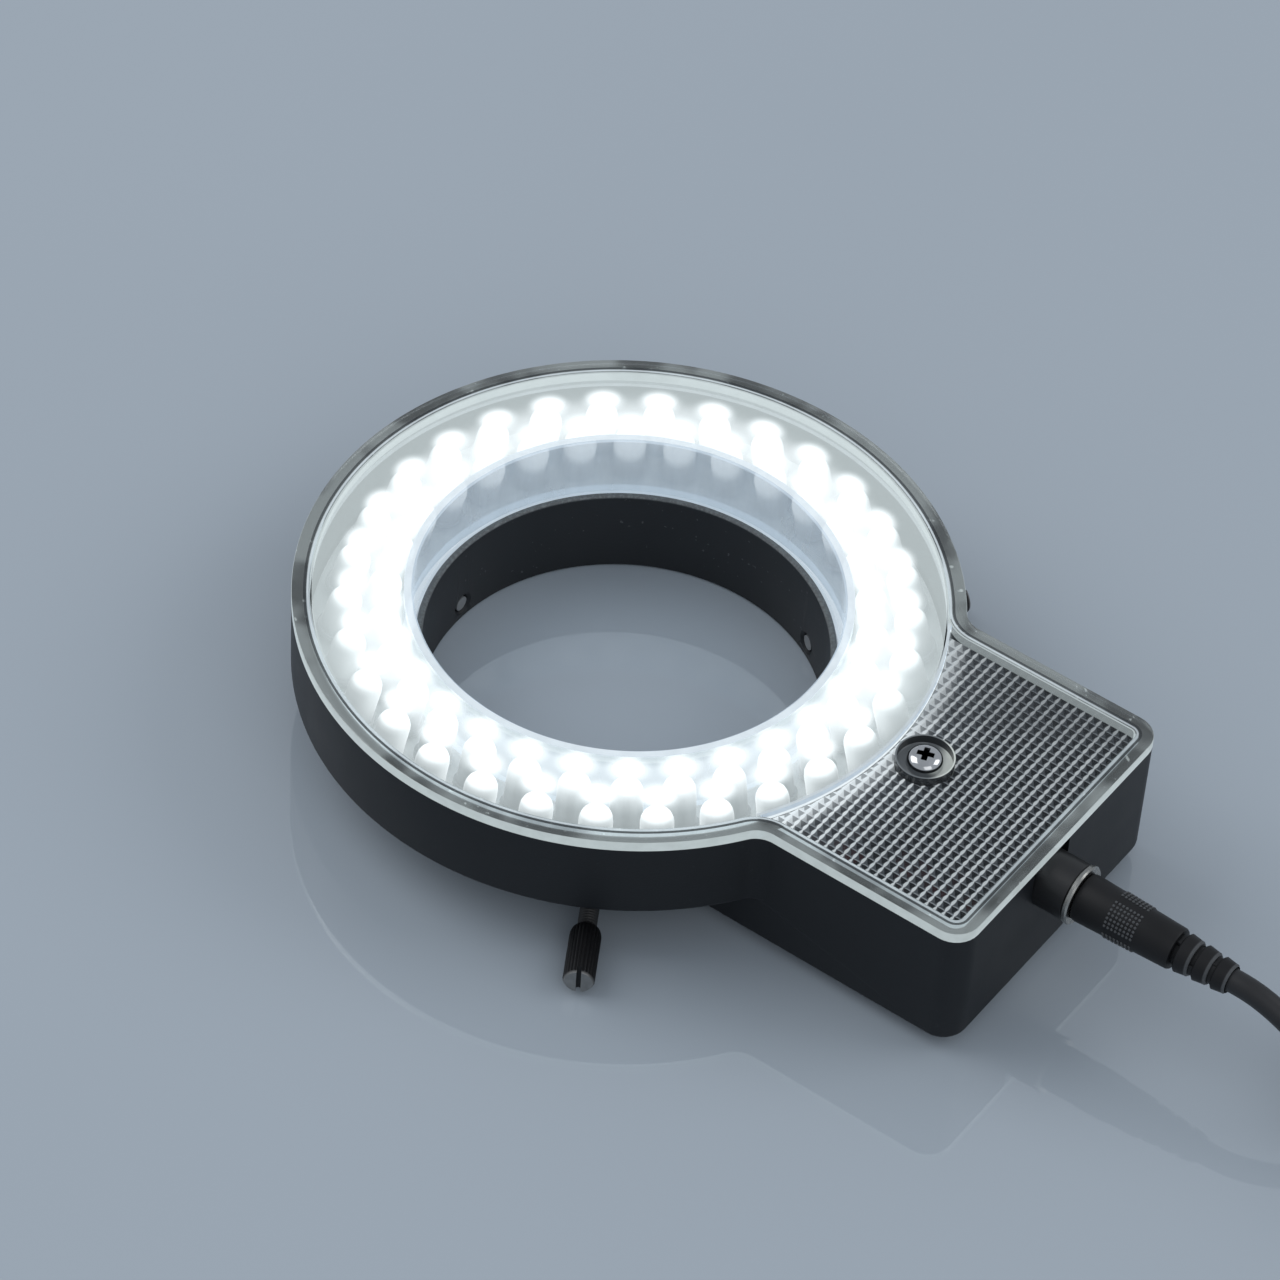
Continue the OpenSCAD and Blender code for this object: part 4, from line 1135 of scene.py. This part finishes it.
class RING_LIGHT_OT_collar(bpy.types.Operator):
    """Turn the mounting collar, drill its three screw holes and add the lock ring"""
    bl_idname = "ring_light.collar"
    bl_label = "Collar and lock ring"

    def execute(self, context):
        bore, neck, foot = mm("bore_r"), mm("neck_r"), mm("foot_r")
        top, base = mm("neck_top"), mm("ring_base")
        collar = turned("collar", [(bore, 0.35), (bore + 0.35, 0), (foot - 0.5, 0), (foot, 0.5), (foot, base - 0.4),
                                   (foot - 0.4, base), (neck + 0.15, base), (neck, base + 0.15), (neck, top - 0.22),
                                   (neck - 0.22, top), (bore + 0.22, top), (bore, top - 0.22)], 160)
        for angle in THUMBSCREW_ANGLES:
            drill = turned("drill", [(0, 28), (2.0, 28), (2.0, bore - 0.05), (1.5, bore + 0.4), (1.5, foot - 0.45),
                                     (2.0, foot + 0.05), (2.0, 38), (0, 38)], 32)
            carve(collar, placed(drill, Matrix.Rotation(math.radians(angle), 4, "Z") @ turn_x(0, 0, THUMBSCREW_Z)))
        settle(collar, "collar_turning", "light", finish_of(collar_black), ["mounting_collar"], 40)
        floor = mm("ring_floor")
        ring = turned("ring", [(neck + 0.05, floor), (neck + 2.0, floor), (neck + 2.0, floor + 0.85),
                               (neck + 1.85, floor + 1.0), (neck + 0.2, floor + 1.0), (neck + 0.05, floor + 0.85)], 144)
        for angle in range(0, 360, 60):
            nick = block("nick", (neck + 1.2, -0.8, floor + 0.4), (neck + 3, 0.8, floor + 2))
            carve(ring, placed(nick, Matrix.Rotation(math.radians(angle), 4, "Z")))
        settle(ring, "lock_ring_turning", "light", finish_of(lock_alloy), ["lock_ring"])
        return {"FINISHED"}


def over_screw(piece):
    """Moves a piece made on the bore's axis out to the cover screw."""
    return placed(piece, Matrix.Translation((COVER_SCREW_X, 0, 0)))


def settle_clear(piece, name, make, angle=40):
    """Hands over a piece of the clear cover."""
    settle(piece, name, "light", finish_of(make), ["front_cover"], angle)


class RING_LIGHT_OT_cover(bpy.types.Operator):
    """Model the clear front cover: rim, lip, window, inner wall, tab and screw dish"""
    bl_idname = "ring_light.cover"
    bl_label = "Front cover"

    def execute(self, context):
        top, rim, ring = mm("cover_top"), mm("rim"), mm("ring_r")
        edge = moulding("edge", [(0, rim + 0.02), (0, top - 0.18), (0.053, top - 0.053), (0.18, top), (2.57, top),
                                 (2.697, top - 0.053), (2.75, top - 0.18), (2.75, rim + 0.02)])
        settle_clear(edge, "cover_rim", clear_rim)
        for name, outer, inner, high, make in (("cover_seam", 1.75, 2.15, 0.010, clear_seam),
                                               ("cover_line", 2.25, 2.55, 0.008, clear_lip)):
            inlay = moulding("inlay", [(outer, top - 0.02), (outer, top + high),
                                       (inner, top + high), (inner, top - 0.02)])
            settle_clear(inlay, name, make)
        lip = moulding("lip", [(2.05, rim - 1.2), (2.05, rim + 0.01), (2.75, rim + 0.01), (2.75, rim - 1.2)])
        under = turned("under", [(ring - 2.1, rim - 2), (ring + 0.3, rim - 2), (ring + 0.3, rim + 0.05),
                                 (ring - 2.1, rim + 0.05)], 180)
        carve(lip, under)
        carve(lip, block("gap", (60, -9.9, rim - 3), (90, 3.7, rim)))
        settle_clear(lip, "cover_lip", clear_lip)
        across = 31
        strip = arc((0, 0), ring - 2.75, -across, across, 40) + arc((0, 0), ring - 2.32, across, -across, 40)
        settle_clear(prism("band", strip, top - 0.4, top - 0.02), "cover_band", clear_lip)
        window = turned("window", [(33.42, 24.0), (ring - 3.0, 24.0), (ring - 3.0, top), (33.42, top)], 180)
        settle_clear(window, "cover_window", clear_window)
        foot = mm("cover_wall_foot")
        wall = turned("wall", [(32.0, foot), (33.4, foot), (33.4, top), (32.3, top), (32.0, top - 0.3)], 180)
        settle_clear(wall, "cover_wall", clear_wall)
        tab = prism("tab", plan_outline(2.98), 24.0, top)
        carve(tab, turned("inside", [(0, 23), (ring - 2.28, 23), (ring - 2.28, top + 1), (0, top + 1)], 180))
        carve(tab, over_screw(turned("dish", [(0, 20), (4.42, 20), (4.42, top + 1), (0, top + 1)], 64)))
        settle_clear(tab, "cover_tab", clear_tab)
        dish = turned("dish", [(1.8, 21.0), (5.13, 21.0), (5.13, 22.9), (4.4, 23.0), (4.4, top - 0.05), (4.35, top),
                               (4.2, top), (4.15, top - 0.05), (4.15, 23.95), (4.0, 23.8), (1.8, 23.8)], 64)
        settle_clear(over_screw(dish), "cover_dish", clear_dish)
        return {"FINISHED"}


class RING_LIGHT_OT_prisms(bpy.types.Operator):
    """Model the field of small prisms under the cover's tab"""
    bl_idname = "ring_light.prisms"
    bl_label = "Prism field"

    def execute(self, context):
        pitch, depth = mm("prism_pitch"), mm("prism_depth")
        end, half = mm("box_end") - 3.0, mm("box_half") - 3.0
        columns, rows = 25, math.ceil(half / pitch) * 2
        clear_selection()
        bpy.ops.mesh.primitive_grid_add(x_subdivisions=columns, y_subdivisions=rows, size=1)
        field = context.object
        for vertex in field.data.vertices:
            vertex.co = (end + (vertex.co.x - 0.5) * columns * pitch, vertex.co.y * rows * pitch, 23.96)
        bpy.ops.object.mode_set(mode="EDIT")
        bpy.ops.mesh.select_all(action="SELECT")
        bpy.ops.mesh.poke(offset=-depth)
        bpy.ops.mesh.select_all(action="SELECT")
        bpy.ops.mesh.extrude_region_move(TRANSFORM_OT_translate={"value": (0, 0, -0.04)})
        tidy(field)
        corner = 1.0
        outline = (arc((end - corner, half - corner), corner, 0, 90, 5) + [(30, half), (30, -half)]
                   + arc((end - corner, corner - half), corner, -90, 0, 5))
        carve(field, prism("edge", outline, 20, 26), "INTERSECT")
        carve(field, turned("ring", [(0, 20), (mm("ring_r") - 2.25, 20), (mm("ring_r") - 2.25, 26), (0, 26)], 180))
        carve(field, over_screw(turned("dish", [(0, 20), (4.45, 20), (4.45, 26), (0, 26)], 64)))
        settle_clear(field, "prism_field", prism_cells, 10)
        return {"FINISHED"}


class RING_LIGHT_OT_cover_screw(bpy.types.Operator):
    """Model the pan-head screw with its cross recess"""
    bl_idname = "ring_light.cover_screw"
    bl_label = "Cover screw"

    def execute(self, context):
        seat, r, h = 23.8, 2.75, 2.2
        crown = [(r * math.cos(math.radians(a)) ** 0.6, seat + h - 1.5 + 1.5 * math.sin(math.radians(a)))
                 for a in range(0, 90, 15)]
        screw = turned("screw", [(0, 11.2), (0.7, 11.2), (1.4, 12.4), (1.45, seat), (r - 0.1, seat), (r, seat + 0.1),
                                 *crown, (0, seat + h)], 48)
        for angle in (20, 110):
            arm = block("arm", (-1.65, -0.5, seat + 0.55), (1.65, 0.5, seat + h + 1))
            for vertex in arm.data.vertices:
                if vertex.co.z < seat + 1:
                    vertex.co.x *= 0.45
                    vertex.co.y *= 0.7
            carve(screw, placed(arm, Matrix.Rotation(math.radians(angle), 4, "Z")))
        over_screw(screw)
        settle(screw, "cover_screw_head", "light", finish_of(cover_screw_steel), ["cover_screw"], 30)
        return {"FINISHED"}


class RING_LIGHT_OT_leds(bpy.types.Operator):
    """Model one leaning LED and set it in two staggered rows"""
    bl_idname = "ring_light.leds"
    bl_label = "LED rows"

    def execute(self, context):
        led_r, flange_r, foot, lean = 2.5, 2.9, -6.1, math.radians(15)
        leg_r, leg_side, leg_top, board_top = 0.25, 1.27, -3.2, 14.2
        dome = [(led_r * math.cos(math.radians(a)), led_r * math.sin(math.radians(a))) for a in (0, 18, 36, 54, 72)]
        led = turned("led", [(0, foot), (flange_r - 0.1, foot), (flange_r, foot + 0.1), (flange_r, foot + 0.9),
                             (flange_r - 0.1, foot + 1), (led_r, foot + 1), (led_r, -led_r), *dome, (0, led_r)], 20)
        second = copied(led, "second")
        count = mm("leds_per_row") / 1000
        for piece, name, r, first, fade in ((led, "led_row_outer_lamps", mm("outer_row_r"), 0.0, 6.0),
                                            (second, "led_row_inner_lamps", mm("inner_row_r"), 180 / count, 3.2)):
            glow = piece.data.attributes.new("glow", "FLOAT", "POINT")
            for vertex, value in zip(piece.data.vertices, glow.data):
                height, side = vertex.co.z, 0.22 + 0.63 * eased(0.5 - vertex.co.x / (2 * led_r))
                tip, base = eased((height - 0.4) / 1.2), eased((height + fade) / fade)
                value.value = side + (1 - side) * tip if height > 0 else side * (0.22 + 0.78 * base)
            placed(piece, Matrix.Rotation(-lean, 4, "Y"))
            rounds = [arc((-foot * math.sin(lean), side), leg_r, 0, 300, 5) for side in (-leg_side, leg_side)]
            legs = [prism("leg", outline, board_top - mm("dome_z"), leg_top) for outline in rounds]
            piece = joined("led", [piece, *legs])
            places = [Matrix.Rotation(math.radians(first + 360 * i / count), 4, "Z")
                      @ Matrix.Translation((r, 0, mm("dome_z"))) for i in range(int(count))]
            row = repeated(piece, name, places)
            settle(row, name, "light", finish_of(led_epoxy), [name.replace("_lamps", "")], 40)
        return {"FINISHED"}


class RING_LIGHT_OT_boards(bpy.types.Operator):
    """Finish the LED board, the driver board and the parts on them"""
    bl_idname = "ring_light.boards"
    bl_label = "Boards and parts"

    def execute(self, context):
        for node, make in (("led_board", white_board), ("led_board_screws", screw_steel), ("driver_board", green_board),
                           ("driver_board_screws", screw_steel), ("driver_capacitors", capacitor_blue),
                           ("driver_inductor", ferrite), ("driver_chip", chip_black),
                           ("driver_connectors", connector_white), ("led_board_connector", connector_white)):
            dress(node, finish_of(make))
        return {"FINISHED"}


class RING_LIGHT_OT_wires(bpy.types.Operator):
    """Lay the hook-up wires from the socket to the driver board and on to the LED board"""
    bl_idname = "ring_light.wires"
    bl_label = "Wires"

    def execute(self, context):
        y0, z0 = CORD_START[1], CORD_START[2]
        for name, finish, side, slot in (("wires_red", wire_red, 1, "wire_red"),
                                         ("wires_black", wire_black, -1, "wire_black")):
            tag_y, end_x = y0 + 2.5 * side, 60.1 + 1.25 * side
            first, last = Vector((63.8, tag_y, z0)), Vector((end_x, 4.2, 10.8))
            half = (first + last) / 2
            into = [first, first - Vector((2, 0, 0)), (end_x + 0.4, tag_y + 1.3, z0 - 1.3), (end_x, half.y, half.z),
                    last + Vector((0, -2, 1.3)), last - Vector((0, 0.65, 0)), last]
            start_x, end_y = 67.1 + 1.25 * side, -12.8 - 1.25 * side
            first, last = Vector((start_x, 4.2, 10.8)), Vector((44.5, end_y, 10.6))
            onward = [first, first - Vector((0, 2, 0)), (start_x - 0.4, -5, 10.8), (start_x - 2, end_y + 5, 10.8),
                      (start_x - 5, end_y, 10.8), (start_x - 10, end_y - 0.8, 10.8), (49.5, end_y - 0.4, 10.6),
                      last + Vector((2, 0, 0)), last]
            for label, route in (("_in", into), ("_out", onward)):
                wire = tube(name + label, smooth_through(route), 0.65, 3)
                settle(wire, name + label, "light", finish_of(finish), [name])
        return {"FINISHED"}


class RING_LIGHT_OT_socket(bpy.types.Operator):
    """Model the low-voltage socket with its metal ring"""
    bl_idname = "ring_light.socket"
    bl_label = "Socket"

    def execute(self, context):
        y, z = CORD_START[1:]
        back, mouth = 66.3, 82.3
        barrel = turned("barrel", [(1.05, 0), (4.2, 0), (4.5, 0.3), (4.5, mouth - back - 0.25), (4.25, mouth - back),
                                   (3.15, mouth - back), (3.15, mouth - back - 10.5), (1.05, mouth - back - 10.5)], 56)
        placed(barrel, turn_x(back, y, z))
        flange = soften(block("flange", (73.3, y - 6.5, z - 4.5), (75.3, y + 6.5, z + 4.5)), 0.3)
        hole = placed(turned("hole", [(0, -3), (4.4, -3), (4.4, 6), (0, 6)], 40), turn_x(73, y, z))
        carve(flange, hole)
        socket = joined("socket", [barrel, flange])
        settle(socket, "socket_moulding", "light", finish_of(socket_black), ["socket_body"])
        ring = turned("ring", [(3.15, 0), (4.62, 0), (4.7, 0.1), (4.7, 0.55), (4.5, 0.8), (3.4, 0.8), (3.15, 0.6)], 64)
        placed(ring, turn_x(mouth, y, z))
        settle(ring, "socket_bezel", "light", finish_of(bezel_metal), ["socket_ring"])
        for node in ("socket_pin", "socket_tags"):
            dress(node, finish_of(contact_metal))
        return {"FINISHED"}


class RING_LIGHT_OT_thumbscrews(bpy.types.Operator):
    """Model one knurled thumbscrew with its thread and slot, and set three in the collar"""
    bl_idname = "ring_light.thumbscrews"
    bl_label = "Thumbscrews"

    def execute(self, context):
        ridges = round(mm("knurl_ridges") / 1000)
        start, shoulder, end, r = 31.55, 47.3, 57.4, 2.35
        knob = turned("knob", [(0, shoulder), (1.45, shoulder), (1.75, shoulder + 0.05), (2.1, shoulder + 0.4),
                               (r - 0.06, shoulder + 0.9), (r, shoulder + 1.3), (r, end - 0.5), (r - 0.08, end - 0.35),
                               (r - 0.3, end), (0, end)], ridges * 4)
        for vertex in knob.data.vertices:
            spread = math.hypot(vertex.co.x, vertex.co.y)
            if spread > r - 0.1 and vertex.co.z < end - 0.4:
                step = round(math.atan2(vertex.co.y, vertex.co.x) / (2 * math.pi) * ridges * 4) % 4
                share = (r - 0.17 * (step == 0) - 0.06 * (step in (1, 3))) / r
                vertex.co.x *= share
                vertex.co.y *= share
        carve(knob, block("slot", (-4, -0.35, end - 1.0), (4, 0.35, end + 1)))
        core = turned("core", [(0, start + 1.8), (0.65, start + 1.8), (0.65, start), (1.0, start), (1.2, start + 0.3),
                               (1.2, shoulder + 0.1), (0, shoulder + 0.1)], 24)
        clear_selection()
        bpy.ops.mesh.primitive_circle_add(vertices=3, radius=1, fill_type="NOTHING")
        thread = context.object
        section = ((1.15, 0, start), (1.45, 0, start + 0.24), (1.15, 0, start + 0.48))
        for vertex, place in zip(thread.data.vertices, section):
            vertex.co = place
        pick_edges(thread, lambda a, b: abs(a.x - b.x) < 0.01)
        bpy.ops.mesh.delete(type="EDGE")
        bpy.ops.object.mode_set(mode="OBJECT")
        turn = thread.modifiers.new("Thread", "SCREW")
        turn.axis = "Z"
        turn.screw_offset = 0.5
        turn.iterations = 31
        turn.steps = turn.render_steps = 20
        turn.use_merge_vertices = True
        turn.merge_threshold = 0.001
        take(thread)
        bpy.ops.object.modifier_apply(modifier=turn.name)
        tidy(thread)
        screw = joined("screw", [knob, core, thread])
        bare = screw.data.attributes.new("bare", "FLOAT", "POINT")
        for vertex, value in zip(screw.data.vertices, bare.data):
            spread = math.hypot(vertex.co.x, vertex.co.y)
            value.value = 1.0 if vertex.co.z > end - 0.05 else 0.12 if vertex.co.z < shoulder and spread > 1.4 else 0.0
        for angle in THUMBSCREW_ANGLES[1:] + THUMBSCREW_ANGLES[:1]:
            one = copied(screw, f"thumbscrew_{angle}_knurled") if angle != THUMBSCREW_ANGLES[0] else screw
            turn = Matrix.Rotation(math.radians(angle), 4, "Z") @ turn_x(0, 0, THUMBSCREW_Z)
            placed(one, turn)
            settle(one, f"thumbscrew_{angle}_knurled", f"screw_{angle}", finish_of(black_steel),
                   [f"thumbscrew_{angle}"], 28)
            dress(f"thumbscrew_pad_{angle}", finish_of(pad_nylon))
        return {"FINISHED"}


MAKERS = (RING_LIGHT_OT_stage, RING_LIGHT_OT_plugs, RING_LIGHT_OT_cord, RING_LIGHT_OT_housing, RING_LIGHT_OT_collar,
          RING_LIGHT_OT_cover, RING_LIGHT_OT_prisms, RING_LIGHT_OT_cover_screw, RING_LIGHT_OT_leds,
          RING_LIGHT_OT_boards, RING_LIGHT_OT_wires, RING_LIGHT_OT_socket, RING_LIGHT_OT_thumbscrews)


class RING_LIGHT_PT_panel(bpy.types.Panel):
    """Sizes, colours and makers of the ring light"""
    bl_idname = "RING_LIGHT_PT_panel"
    bl_label = "Ring light"
    bl_space_type = "VIEW_3D"
    bl_region_type = "UI"
    bl_category = "Ring light"

    def draw(self, context):
        for group in (context.scene.ring_light_sizes, context.scene.ring_light_colours):
            column = self.layout.column()
            for name in group.__annotations__:
                column.prop(group, name)
        for maker in MAKERS:
            self.layout.operator(maker.bl_idname)


CLASSES = (RingLightSizes, RingLightColours, *MAKERS, RING_LIGHT_PT_panel)


def register():
    for cls in CLASSES:
        bpy.utils.register_class(cls)
    bpy.types.Scene.ring_light_sizes = bpy.props.PointerProperty(type=RingLightSizes)
    bpy.types.Scene.ring_light_colours = bpy.props.PointerProperty(type=RingLightColours)


def unregister():
    del bpy.types.Scene.ring_light_colours
    del bpy.types.Scene.ring_light_sizes
    for cls in reversed(CLASSES):
        bpy.utils.unregister_class(cls)


def main():
    register()
    for maker in MAKERS:
        group, name = maker.bl_idname.split(".")
        getattr(getattr(bpy.ops, group), name)()
    clear_selection()


if __name__ == "__main__":
    main()
